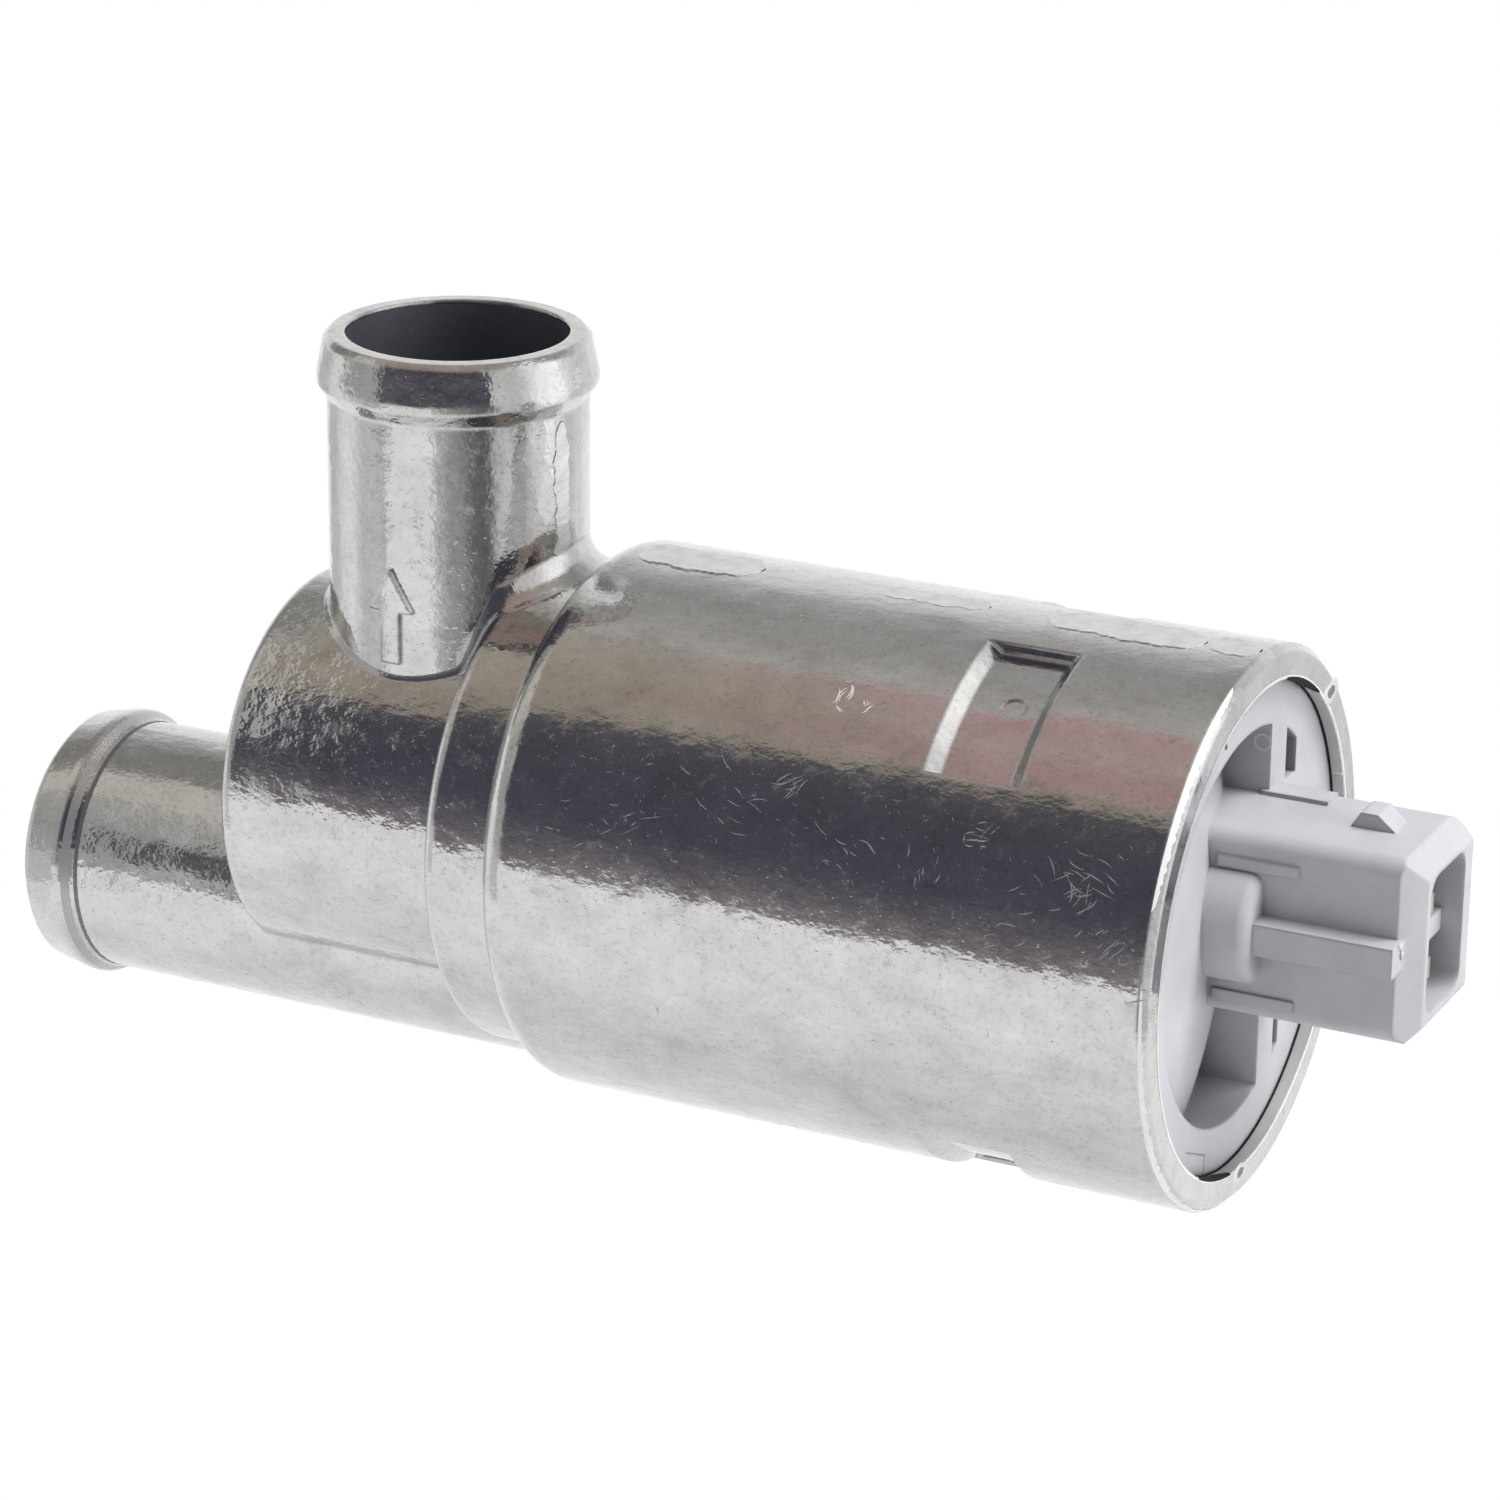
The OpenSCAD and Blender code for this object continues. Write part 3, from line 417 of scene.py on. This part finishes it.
# Ground seams
def skin_patch(name, point, u0, u1, half, lift, seed):
    """A ground-off seam: an irregular island laid on a surface. point(u, v, h) gives the place."""
    rng = random.Random(seed)
    step, ragged, sunk, skirt = 0.3, 0.35, -0.05, 0.08
    count = int((u1 - u0) / step)
    verts = []
    lo, hi = -half, half
    for k in range(count + 1):
        t = k / count
        u = u0 + (u1 - u0) * t
        taper = max(min(1.0, 9 * t, 9 * (1 - t)) ** 0.5, 0.2)
        lo += rng.uniform(-0.5, 0.5) * ragged + (-half - lo) * 0.3
        hi += rng.uniform(-0.5, 0.5) * ragged + (half - hi) * 0.3
        a, b = lo * taper, hi * taper
        verts += [point(u, a - skirt, sunk), point(u, a, lift), point(u, b, lift), point(u, b + skirt, sunk)]
    skin_object(name, verts, quad_rows(count, 4), GROUND, smooth=False)


def flat_on_barrel(y0):
    """Lies flat on the barrel's top, as a file leaves it: h above 0 is on the flat, below 0 in the skin."""
    def place(u, v, h):
        y = y0 + v
        skin = math.sqrt(BARREL_R ** 2 - y * y)
        return (u, y, BARREL_R + h if h > 0 else skin + h)
    return place


def on_nozzle(beta_deg):
    """u is the height, v runs round the tube."""
    def place(u, v, h):
        a = math.radians(beta_deg) + v / TUBE_R
        r = TUBE_R + h
        return (NOZZLE_X + r * math.sin(a), -r * math.cos(a), u)
    return place


def ground_seams():
    """Where the casting's parting seams were filed down, on top of the barrel and on the side nozzle."""
    # First X, last X, half width, height above the skin and middle Y
    islands = [(-14.6, -4.3, 2.1, 0.03, 0.5), (5.6, 14.2, 1.2, 0.02, 0.6), (19.2, 31.2, 2.0, 0.03, 0.6),
               (31.6, 35.3, 1.7, 0.03, 0.9)]
    for number, (u0, u1, half, lift, y0) in enumerate(islands):
        skin_patch(f"ground_seam_{number}", flat_on_barrel(y0), u0, u1, half, lift, 20 + number)
    skin_patch("ground_seam_nozzle", on_nozzle(80), 14.2, 31.0, 0.75, 0.07, 31)


# Scratches
def over_panel(corners):
    """Whether a face is over a sunk panel, where the barrel has no skin."""
    mid = sum((Vector(c) for c in corners), Vector()) / len(corners)
    ang = abs(math.degrees(math.atan2(mid.z, -mid.y)))
    return PANEL_X[0] < mid.x < PANEL_X[1] and PANEL_DEG[0] < ang < PANEL_DEG[1]


def scratches():
    """Handling marks on the barrel and the chamber, as hairline strips that lie on the skin."""
    rng = random.Random(11)
    verts, dark, bright = [], [], []

    def strip(x, ang, length, heading, width, bend, radius):
        """Faces of one bent strip, with its middle at x and at the angle ang, in degrees above the front."""
        steps, lift = 4, 0.012
        start = len(verts)
        for k in range(steps + 1):
            t = k / steps - 0.5
            h = heading + bend * t
            along_x = x + math.cos(h) * length * t
            along_skin = math.sin(h) * length * t
            w = width * (1 - (2 * abs(t)) ** 2 * 0.9) * rng.uniform(0.7, 1.2) / 2
            for side in (-1, 1):
                a = math.radians(ang) + (along_skin + math.cos(h) * w * side) / radius
                verts.append(round_x(along_x - math.sin(h) * w * side, radius + lift, a))
        return quad_rows(steps, 2, start)

    # X, angle, spread, count and main heading in degrees
    clusters = [
        (29.5, 27, 2.2, 15, -35), (30.5, 24, 2.0, 12, 60), (22.0, 30.5, 1.2, 12, 30),
        (6.8, 34.5, 1.0, 10, 40), (-4.5, 24, 3.0, 9, 20), (3.0, 27, 3.5, 10, -20),
        (13.0, 22, 3.0, 10, -30), (18.0, 24, 2.5, 9, 75), (33.0, 14, 2.0, 12, 15),
        (26.0, 16, 2.5, 9, 10), (-10.0, 20, 2.5, 6, 5), (11.0, 55, 0.8, 4, 35)]
    for x, ang, spread, count, head in clusters:
        for _ in range(count):
            dark += strip(x + rng.gauss(0, spread * 0.6), ang + rng.gauss(0, spread * 1.3),
                          rng.uniform(0.4, 1.9), math.radians(head + rng.gauss(0, 22)),
                          rng.uniform(0.05, 0.12), rng.uniform(-0.5, 0.5), BARREL_R)
    # X, angle, length, heading in degrees and bend of each stretch of the bright looped scratch
    loop = [
        (8.1, 55.2, 2.0, 80, 1.3), (9.0, 55.4, 2.2, 96, 1.3), (8.3, 58.6, 0.7, 20, 1.0),
        (8.5, 52.0, 0.8, 150, 1.0), (10.7, 53.4, 1.1, 50, 0.8), (10.2, 54.6, 0.6, 120, 0.4)]
    for x, ang, length, head, bend in loop:
        for _ in range(3):
            bright += strip(x + rng.gauss(0, 0.09), ang + rng.gauss(0, 0.35),
                            length * rng.uniform(0.6, 1.0), math.radians(head + rng.gauss(0, 6)),
                            rng.uniform(0.07, 0.14), bend * rng.choice((-1, 1)) * 0.6, BARREL_R)
    # Specks all over the front, then a few above and below it, then on the chamber
    for _ in range(150):
        dark += strip(rng.uniform(-13, 34), rng.uniform(2, 42), rng.uniform(0.06, 0.45),
                      rng.uniform(0, math.pi), rng.uniform(0.03, 0.07), 0, BARREL_R)
    for _ in range(45):
        dark += strip(rng.uniform(-13, 34), rng.choice((rng.uniform(-45, 0), rng.uniform(44, 72))),
                      rng.uniform(0.1, 0.7), rng.uniform(0, math.pi), rng.uniform(0.02, 0.05), 0, BARREL_R)
    for _ in range(14):
        dark += strip(rng.uniform(-41, -24.5), rng.uniform(5, 45), rng.uniform(0.1, 0.7),
                      rng.uniform(0, math.pi), rng.uniform(0.02, 0.06), 0, CHAMBER_R)
    dark = [face for face in dark if not over_panel([verts[i] for i in face])]
    skin_object("handling_scratches", verts, dark, scratch_metal("handling scratches", 0.42), smooth=False)
    skin_object("bright_scratches", verts, bright, scratch_metal("bright scratches", 0.9), smooth=False)


# Marks, painted highlights and painted shade on the rim, the bead and the bore
def ring_strip(name, axis_z, stations, mat, wobble, seed):
    """A band round an axis along X at the height axis_z; stations are (x, radius) pairs."""
    rng = random.Random(seed)
    turns = 144
    verts = []
    for k in range(turns):
        a = 2 * math.pi * k / turns
        for x, radius in stations:
            r = radius + rng.uniform(-wobble, wobble)
            verts.append((x, r * math.sin(a), axis_z + r * math.cos(a)))
    skin_object(name, verts, quad_rows(turns, len(stations), closed=True), mat)


def bore_sleeve(name, stations):
    """The rough skin of the side nozzle's bore, whose dark tone is painted shade; stations are (height,
    radius) pairs.
    """
    turns = 96
    verts = []
    for k in range(turns):
        a = 2 * math.pi * k / turns
        for z, r in stations:
            verts.append((NOZZLE_X + r * math.cos(a), r * math.sin(a), z))
    skin_object(name, verts, quad_rows(turns, len(stations), closed=True), BORE_SKIN_AND_SHADE)


def dent(name, y, z, size, seed):
    """A staking dent on the rim: an uneven bright lip round a pit whose shade is painted, as a dark flat fan.
    """
    rng = random.Random(seed)
    turns = 20
    half_y, half_z = 1.25 * size, 0.75 * size
    # Share of the size and height above the rim, from the outside in
    profile = [(1.0, -0.02), (0.8, 0.07), (0.66, 0.1), (0.5, 0.03)]
    pit_height = 0.02
    n = len(profile)
    verts = []
    for k in range(turns):
        a = 2 * math.pi * k / turns
        w = rng.uniform(0.85, 1.15)
        for rho, h in profile:
            verts.append((RIM_X + h * w, y + half_y * rho * w * math.cos(a),
                          z + half_z * rho * w * math.sin(a)))
    verts.append((RIM_X + pit_height, y, z))
    middle = len(verts) - 1
    # Painted shade: the pit is a dark flat fan just above the rim, not a hollow
    pit = [(k * n + n - 1, middle, (k + 1) % turns * n + n - 1) for k in range(turns)]
    skin_object(name + "_lip", verts, quad_rows(turns, n, closed=True), GROUND)
    skin_object(name + "_pit", verts, pit, PAINTED_SHADE_LINE)


def rim_gap(name, deg0, deg1, width, seed):
    """Painted shadow: a dark sliver where the pushed-in rim leaves a gap over the cap."""
    rng = random.Random(seed)
    count = 26
    verts = []
    for k in range(count + 1):
        t = k / count
        a = math.radians(deg0 + (deg1 - deg0) * t)
        w = width * math.sin(math.pi * t) ** 0.7 * rng.uniform(0.75, 1.1)
        verts += [round_x(RIM_X + 0.02, BORE_R + 0.12, a), round_x(RIM_X + 0.02, BORE_R - 0.03, a),
                  round_x(RIM_X - 0.25, BORE_R - w, a)]
    skin_object(name, verts, quad_rows(count, 3), PAINTED_GAP_SHADE, smooth=False)


def chamfer_highlight(name, deg0, deg1, width, seed):
    """A painted highlight: a bright stretch of the rim's outer chamfer, with ragged ends and an uneven inner
    edge.
    """
    rng = random.Random(seed)
    count = 90
    chamfer, lift, first_down = 0.6, 0.006, 0.05
    verts = []
    for k in range(count + 1):
        t = k / count
        a = math.radians(deg0 + (deg1 - deg0) * t)
        w = width * math.sin(math.pi * t) ** 0.35 * rng.uniform(0.72, 1.1)
        for down in (first_down, first_down + w):
            verts.append(round_x(RIM_X - (chamfer - lift) + down, BARREL_R + lift - down, a))
    skin_object(name, verts, quad_rows(count, 2), PAINTED_EDGE_HIGHLIGHT)


def rim_and_bore_marks():
    skin_r = BORE_R - 0.02
    ring_strip("rim_inner_skin", 0, [(CAP_X + 0.04, skin_r), (RIM_X - 0.08, skin_r)], DULL, 0.012, 3)
    # Painted shade: a nearly black ring in the corner between the cap's face and the rim's bore
    ring_strip("rim_inner_corner", 0, [(CAP_X + 0.03, BORE_R - 0.05), (CAP_X + 0.17, BORE_R - 0.04)],
               PAINTED_GAP_SHADE, 0.02, 13)
    # Painted highlight: a bright band along the rim's inner edge
    ring_strip("rim_inner_edge", 0, [
        (RIM_X - 0.06, BORE_R - 0.01), (RIM_X + 0.012, BORE_R + 0.06), (RIM_X + 0.012, BORE_R + 0.26)],
        PAINTED_EDGE_HIGHLIGHT, 0.004, 14)
    # Painted highlights along the rim's outer chamfer, above and below
    chamfer_highlight("rim_outer_edge_upper", 75, 23, 0.44, 15)
    chamfer_highlight("rim_outer_edge_lower", 9, -84, 0.36, 16)
    # Painted shade: a dark ring on the tube in the corner under the end nozzle's bead
    ring_strip("end_bead_corner_line", DUCT_Z, [
        (-60.0, TUBE_R + 0.03), (-59.8, TUBE_R + 0.02), (-59.6, TUBE_R + 0.005)], PAINTED_SHADE_LINE, 0.0, 4)
    # Painted shade: a duller, darker band on the end bead's sloping flank
    ring_strip("end_bead_slope", DUCT_Z, [
        (-60.8, TUBE_R + 0.62), (-60.5, TUBE_R + 0.42), (-60.2, TUBE_R + 0.19)], PAINTED_SLOPE_SHADE, 0.004, 5)
    bore_sleeve("side_bore_skin_and_shade", [
        (19.5, SIDE_BORE_R + 0.01), (26.0, SIDE_BORE_R + 0.01), (31.0, SIDE_BORE_R), (36.1, SIDE_BORE_R)])
    dent("stake_dent_upper", 13.74, 14.05, 1.2, 5)
    dent("stake_dent_lower", -0.88, -19.05, 1.0, 6)
    # Painted shadows in the gaps that the staking leaves over the cap
    rim_gap("rim_gap_upper", 103, 127, 0.4, 7)
    rim_gap("rim_gap_lower", -81, -60, 0.36, 8)


# Marks on the cap and in the socket
def line_on_cap(name, points, width, mat):
    """A thin flat line on the cap's face through points (y, z)."""
    for number, (p, q) in enumerate(zip(points, points[1:])):
        d = Vector((q[0] - p[0], q[1] - p[1])).normalized() * width / 2
        n = Vector((-d.y, d.x))
        corners = [(p[0] - d.x - n.x, p[1] - d.y - n.y), (p[0] - d.x + n.x, p[1] - d.y + n.y),
                   (q[0] + d.x + n.x, q[1] + d.y + n.y), (q[0] + d.x - n.x, q[1] + d.y - n.y)]
        verts = [(CAP_X + 0.02, *c) for c in corners]
        skin_object(f"{name}_{number}", verts, [(0, 1, 2, 3)], mat, smooth=False)


def flat_ring(name, centre, r_in, r_out, mat):
    """A thin ring that lies on a face looking along -Y."""
    turns = 32
    profile = ((r_in, 0.01), ((r_in + r_out) / 2, 0.06), (r_out, 0.01))
    verts = []
    for k in range(turns):
        a = 2 * math.pi * k / turns
        for r, lift in profile:
            verts.append((centre[0] + r * math.cos(a), centre[1] - lift, centre[2] + r * math.sin(a)))
    skin_object(name, verts, quad_rows(turns, len(profile), closed=True), mat)


def lump(name, centre, size, seed, mat):
    """A small torn crumb of plastic."""
    rng = random.Random(seed)
    rows, turns = 5, 9
    verts, faces = [], []
    for i in range(rows + 1):
        v = math.pi * i / rows
        for k in range(turns):
            a = 2 * math.pi * k / turns
            w = rng.uniform(0.7, 1.15)
            verts.append((centre[0] + size[0] * w * math.sin(v) * math.cos(a),
                          centre[1] + size[1] * w * math.sin(v) * math.sin(a),
                          centre[2] + size[2] * w * math.cos(v)))
    for i in range(rows):
        for k in range(turns):
            k2 = (k + 1) % turns
            faces.append((i * turns + k, i * turns + k2, (i + 1) * turns + k2, (i + 1) * turns + k))
    skin_object(name, verts, faces, mat)


def block(name, lo, hi, mat):
    """A box between two corners, whose edges are softened by its material."""
    (x0, y0, z0), (x1, y1, z1) = lo, hi
    verts = [(x0, y0, z0), (x1, y0, z0), (x1, y1, z0), (x0, y1, z0),
             (x0, y0, z1), (x1, y0, z1), (x1, y1, z1), (x0, y1, z1)]
    faces = [(0, 3, 2, 1), (4, 5, 6, 7), (0, 1, 5, 4), (1, 2, 6, 5), (2, 3, 7, 6), (3, 0, 4, 7)]
    skin_object(name, verts, faces, mat, smooth=False)


def cap_and_socket_marks():
    line_on_cap("cap_corner_mark", [(-9.28, -14.31), (-5.61, -15.97), (-5.6, -17.5)], 0.16, DARK_MARK)
    lump("cap_pip", (CAP_X + 0.03, -4.76, 15.55), (0.08, 0.2, 0.2), 9, DARK_MARK)
    flat_ring("pocket_ejector_ring", (34.45, 4.48, 12.8), 0.5, 0.72, PALE_MARK)
    lump("torn_rib_end", (48.82, -4.55, 2.75), (0.16, 0.42, 0.34), 10, PALE_MARK)
    lump("torn_rib_end_low", (48.84, -4.25, 2.0), (0.12, 0.25, 0.4), 12, PALE_MARK)
    # Painted light: the wall between the blades has a lighter copy of the grey plastic
    block("socket_divider", (36.9, -1.35, 0.2), (48.3, 6.05, 1.9), SOCKET_WALL_PAINTED_LIGHTER)
    for name, low, high in (("blade_tip_upper", 2.75, 4.35), ("blade_tip_lower", -2.25, -0.65)):
        block(name, (48.3, 1.9, low), (48.75, 2.65, high), MATS["terminal_metal"])


# Cards that only glossy rays see
def glow(name):
    """A material that gives off light of strength 1; what calls it links the colour."""
    mat = bpy.data.materials.new(name)
    mat.use_nodes = True
    tree = mat.node_tree
    tree.nodes.remove(tree.nodes["Principled BSDF"])
    light = tree.nodes.new("ShaderNodeEmission")
    light.inputs["Strength"].default_value = 1.0
    tree.links.new(light.outputs[0], tree.nodes["Material Output"].inputs["Surface"])
    return mat, tree, light


def banded_glow(name, axis, stops):
    """Its colour follows the angle from -Y towards the axis; stops are (degrees, colour) pairs."""
    mat, tree, light = glow(name)
    low, high = stops[0][0], stops[-1][0]
    axes = object_axes(tree)
    angle = calculate(tree, "ARCTAN2", axes[axis], calculate(tree, "MULTIPLY", axes["Y"], -1))
    share = map_range(tree, angle, math.radians(low), math.radians(high))
    bands = ramp(tree, share, [((a - low) / (high - low), colour) for a, colour in stops])
    tree.links.new(bands, light.inputs["Color"])
    return mat, tree, light


def card(name, verts, faces, mat, place=(0, 0, 0)):
    """A part of the stage that only glossy rays see."""
    obj = add_object(name, verts, faces, mat)
    obj.location = place
    obj.visible_camera = False
    obj.visible_diffuse = False
    obj.visible_shadow = False
    obj.visible_transmission = False


def bent_card(name, radius, x0, x1, stops, fade=None):
    """A strip bent round the X axis, over the angles of its stops, in degrees above the front.
    fade is the X where it is clear, the X where it is strongest, and how strong it is there."""
    mat, tree, light = banded_glow(name, "Z", stops)
    if fade:
        share = map_range(tree, object_axes(tree)["X"], fade[0], fade[1], 0.0, fade[2])
        clear = tree.nodes.new("ShaderNodeBsdfTransparent")
        mix_to_surface(tree, share, clear.outputs[0], light.outputs[0])
    low, high = stops[0][0], stops[-1][0]
    steps = 40
    verts = []
    for k in range(steps + 1):
        a = math.radians(low + (high - low) * k / steps)
        verts += [round_x(x0, radius, a), round_x(x1, radius, a)]
    card(name, verts, quad_rows(steps, 2), mat)


def side_card(name, stops):
    """Things beside the table, mirrored by the upright nozzle: a low strip bent round the nozzle."""
    stops = [(angle, (v, v, v * 1.01)) for angle, v in stops]
    mat, _, _ = banded_glow(name, "X", stops)
    low, high = stops[0][0], stops[-1][0]
    bottom, top = -0.119, 0.02
    steps = 36
    verts = []
    for k in range(steps + 1):
        a = math.radians(low + (high - low) * k / steps)
        x, y = SIDE_CARD_R * math.sin(a), -SIDE_CARD_R * math.cos(a)
        verts += [(x, y, bottom), (x, y, top)]
    card(name, verts, quad_rows(steps, 2), mat, (NOZZLE_X * MM, 0, 0))


def window_card():
    """A bright window past the connector's end, seen in edges that face that way."""
    mat, tree, light = glow("window")
    share = map_range(tree, object_axes(tree)["Y"], -0.1, 0.6)
    panes = ramp(tree, share, [(0.0, even(0.7)), (0.25, even(1.25)), (0.5, even(1.4)), (0.8, even(0.75))])
    tree.links.new(panes, light.inputs["Color"])
    x, y0, y1, z0, z1 = 0.42, -0.3, 0.8, 0.03, 0.75
    card("window", [(x, y0, z0), (x, y1, z0), (x, y1, z1), (x, y0, z1)], [(0, 1, 2, 3)], mat)


def cards():
    # A dark room above the table, then a lit ceiling
    bent_card("room", ROOM_R, -4, 4, [
        (-8, (0.30, 0.28, 0.29)), (0, (0.19, 0.175, 0.19)), (8, (0.125, 0.12, 0.14)),
        (14, (0.085, 0.088, 0.115)), (30, (0.075, 0.077, 0.10)), (48, (0.088, 0.09, 0.108)),
        (55, (0.11, 0.11, 0.12)), (59, (0.36, 0.315, 0.27)), (78, (0.41, 0.36, 0.30)),
        (94, (0.44, 0.405, 0.355)), (99, (0.50, 0.485, 0.465)), (112, (0.41, 0.40, 0.385)),
        (128, (0.37, 0.37, 0.36)), (140, (0.48, 0.48, 0.475)), (152, (0.82, 0.82, 0.82)), (172, (1, 1, 1))])
    # A reddish thing near by that the right half of the barrel mirrors
    bent_card("reddish_cloth", 0.15, -0.072, 0.0, [
        (60, (0.50, 0.37, 0.37)), (66, (0.47, 0.30, 0.315)), (71, (0.49, 0.33, 0.34)),
        (75, (0.51, 0.385, 0.37)), (83, (0.51, 0.37, 0.365)), (87, (0.54, 0.32, 0.34)),
        (92, (0.55, 0.37, 0.385))], (-0.070, -0.034, 0.8))
    # Low things near by on the left that only the end nozzle mirrors
    bent_card("left_bench", 0.15, -0.6, -0.1165, [
        (-8, even(0.62)), (1, even(0.52)), (4, even(0.14)), (22, (0.11, 0.11, 0.12)),
        (27, (0.50, 0.49, 0.48)), (40, (0.56, 0.55, 0.53)), (60, (0.64, 0.62, 0.57)),
        (83, (0.62, 0.60, 0.55)), (90, (0.30, 0.295, 0.28)), (124, (0.28, 0.28, 0.27))],
        (-0.1165, -0.1195, 1.0))
    bent_card("left_bench_end", 0.148, -0.6, -0.1385, [
        (-8, even(0.50)), (20, even(0.42)), (58, (0.48, 0.47, 0.45))], (-0.1385, -0.1405, 1.0))
    window_card()
    side_card("right_of_the_table", [
        (6, 0.80), (12, 0.60), (20, 0.42), (34, 0.33), (40, 0.20), (51, 0.14), (56, 0.26), (62, 0.60),
        (74, 0.78), (83, 0.30), (90, 0.45), (96, 1.35), (116, 1.3), (134, 0.75), (165, 0.9)])
    side_card("left_of_the_table", [
        (-125, 0.6), (-104, 0.66), (-94, 0.9), (-77, 1.02), (-68, 0.80), (-60, 0.66), (-50, 0.72),
        (-38, 0.62)])


# World, floor and lamps
def seen_directly(tree):
    """1 for camera, glossy and transmission rays."""
    path = tree.nodes.new("ShaderNodeLightPath")
    out = path.outputs["Is Camera Ray"]
    for key in ("Is Glossy Ray", "Is Transmission Ray"):
        out = calculate(tree, "MAXIMUM", out, path.outputs[key])
    return out


def white_world():
    """White where it is seen, dimmer as a light."""
    world = bpy.data.worlds.new("studio")
    bpy.context.scene.world = world
    world.use_nodes = True
    tree = world.node_tree
    back = tree.nodes["Background"]
    back.inputs["Color"].default_value = (1, 1, 1, 1)
    tree.links.new(map_range(tree, seen_directly(tree), 0, 1, 0.30, 1.0), back.inputs["Strength"])


def pale_floor():
    """White far away where it is seen directly; near the object a share of it is lit and holds the shadow."""
    mat, tree, bsdf = new_material("pale floor")
    bsdf.inputs["Base Color"].default_value = (0.92, 0.92, 0.92, 1)
    bsdf.inputs["Roughness"].default_value = 0.9
    distance = tree.nodes.new("ShaderNodeVectorMath")
    distance.operation = "LENGTH"
    tree.links.new(object_coords(tree), distance.inputs[0])
    far = distance.outputs["Value"]
    white_share = map_range(tree, far, 0.08, 0.5, 0.86, 1.0, "SMOOTHSTEP")
    # Painted shadow: metal mirrors the floor right under the object a little darker
    path = tree.nodes.new("ShaderNodeLightPath")
    painted_shadow_share = map_range(tree, far, 0, 0.17, 0.24, 0.0)
    painted_shadow = calculate(tree, "MULTIPLY", path.outputs["Is Glossy Ray"], painted_shadow_share)
    light = tree.nodes.new("ShaderNodeEmission")
    tree.links.new(calculate(tree, "SUBTRACT", 1.0, painted_shadow), light.inputs["Strength"])
    share = calculate(tree, "MULTIPLY", seen_directly(tree), white_share)
    mix_to_surface(tree, share, bsdf.outputs[0], light.outputs[0])
    bpy.ops.mesh.primitive_plane_add(size=6, location=(0, 0, FLOOR_Z))
    floor = bpy.context.object
    floor.name = "floor"
    floor.data.materials.append(mat)


def lamps():
    # Name, place in metres, size in metres and energy in watts
    for name, place, size, energy in (("key", (0.5, 0.25, 0.95), 0.6, 14.0),
                                     ("end", (1.0, 0.12, 0.35), 0.5, 3.5),
                                     ("fill", (-0.5, -0.7, 0.8), 0.8, 1.0)):
        light = bpy.data.lights.new(name, "AREA")
        light.size = size
        light.energy = energy
        lamp = bpy.data.objects.new(name, light)
        lamp.location = place
        lamp.rotation_euler = (-Vector(place)).to_track_quat("-Z", "Y").to_euler()
        lamp.visible_glossy = False
        bpy.context.scene.collection.objects.link(lamp)


photo_camera()
nozzle_fillet()
ground_seams()
scratches()
rim_and_bore_marks()
cap_and_socket_marks()
white_world()
pale_floor()
lamps()
cards()
bpy.context.scene.view_settings.view_transform = "Standard"
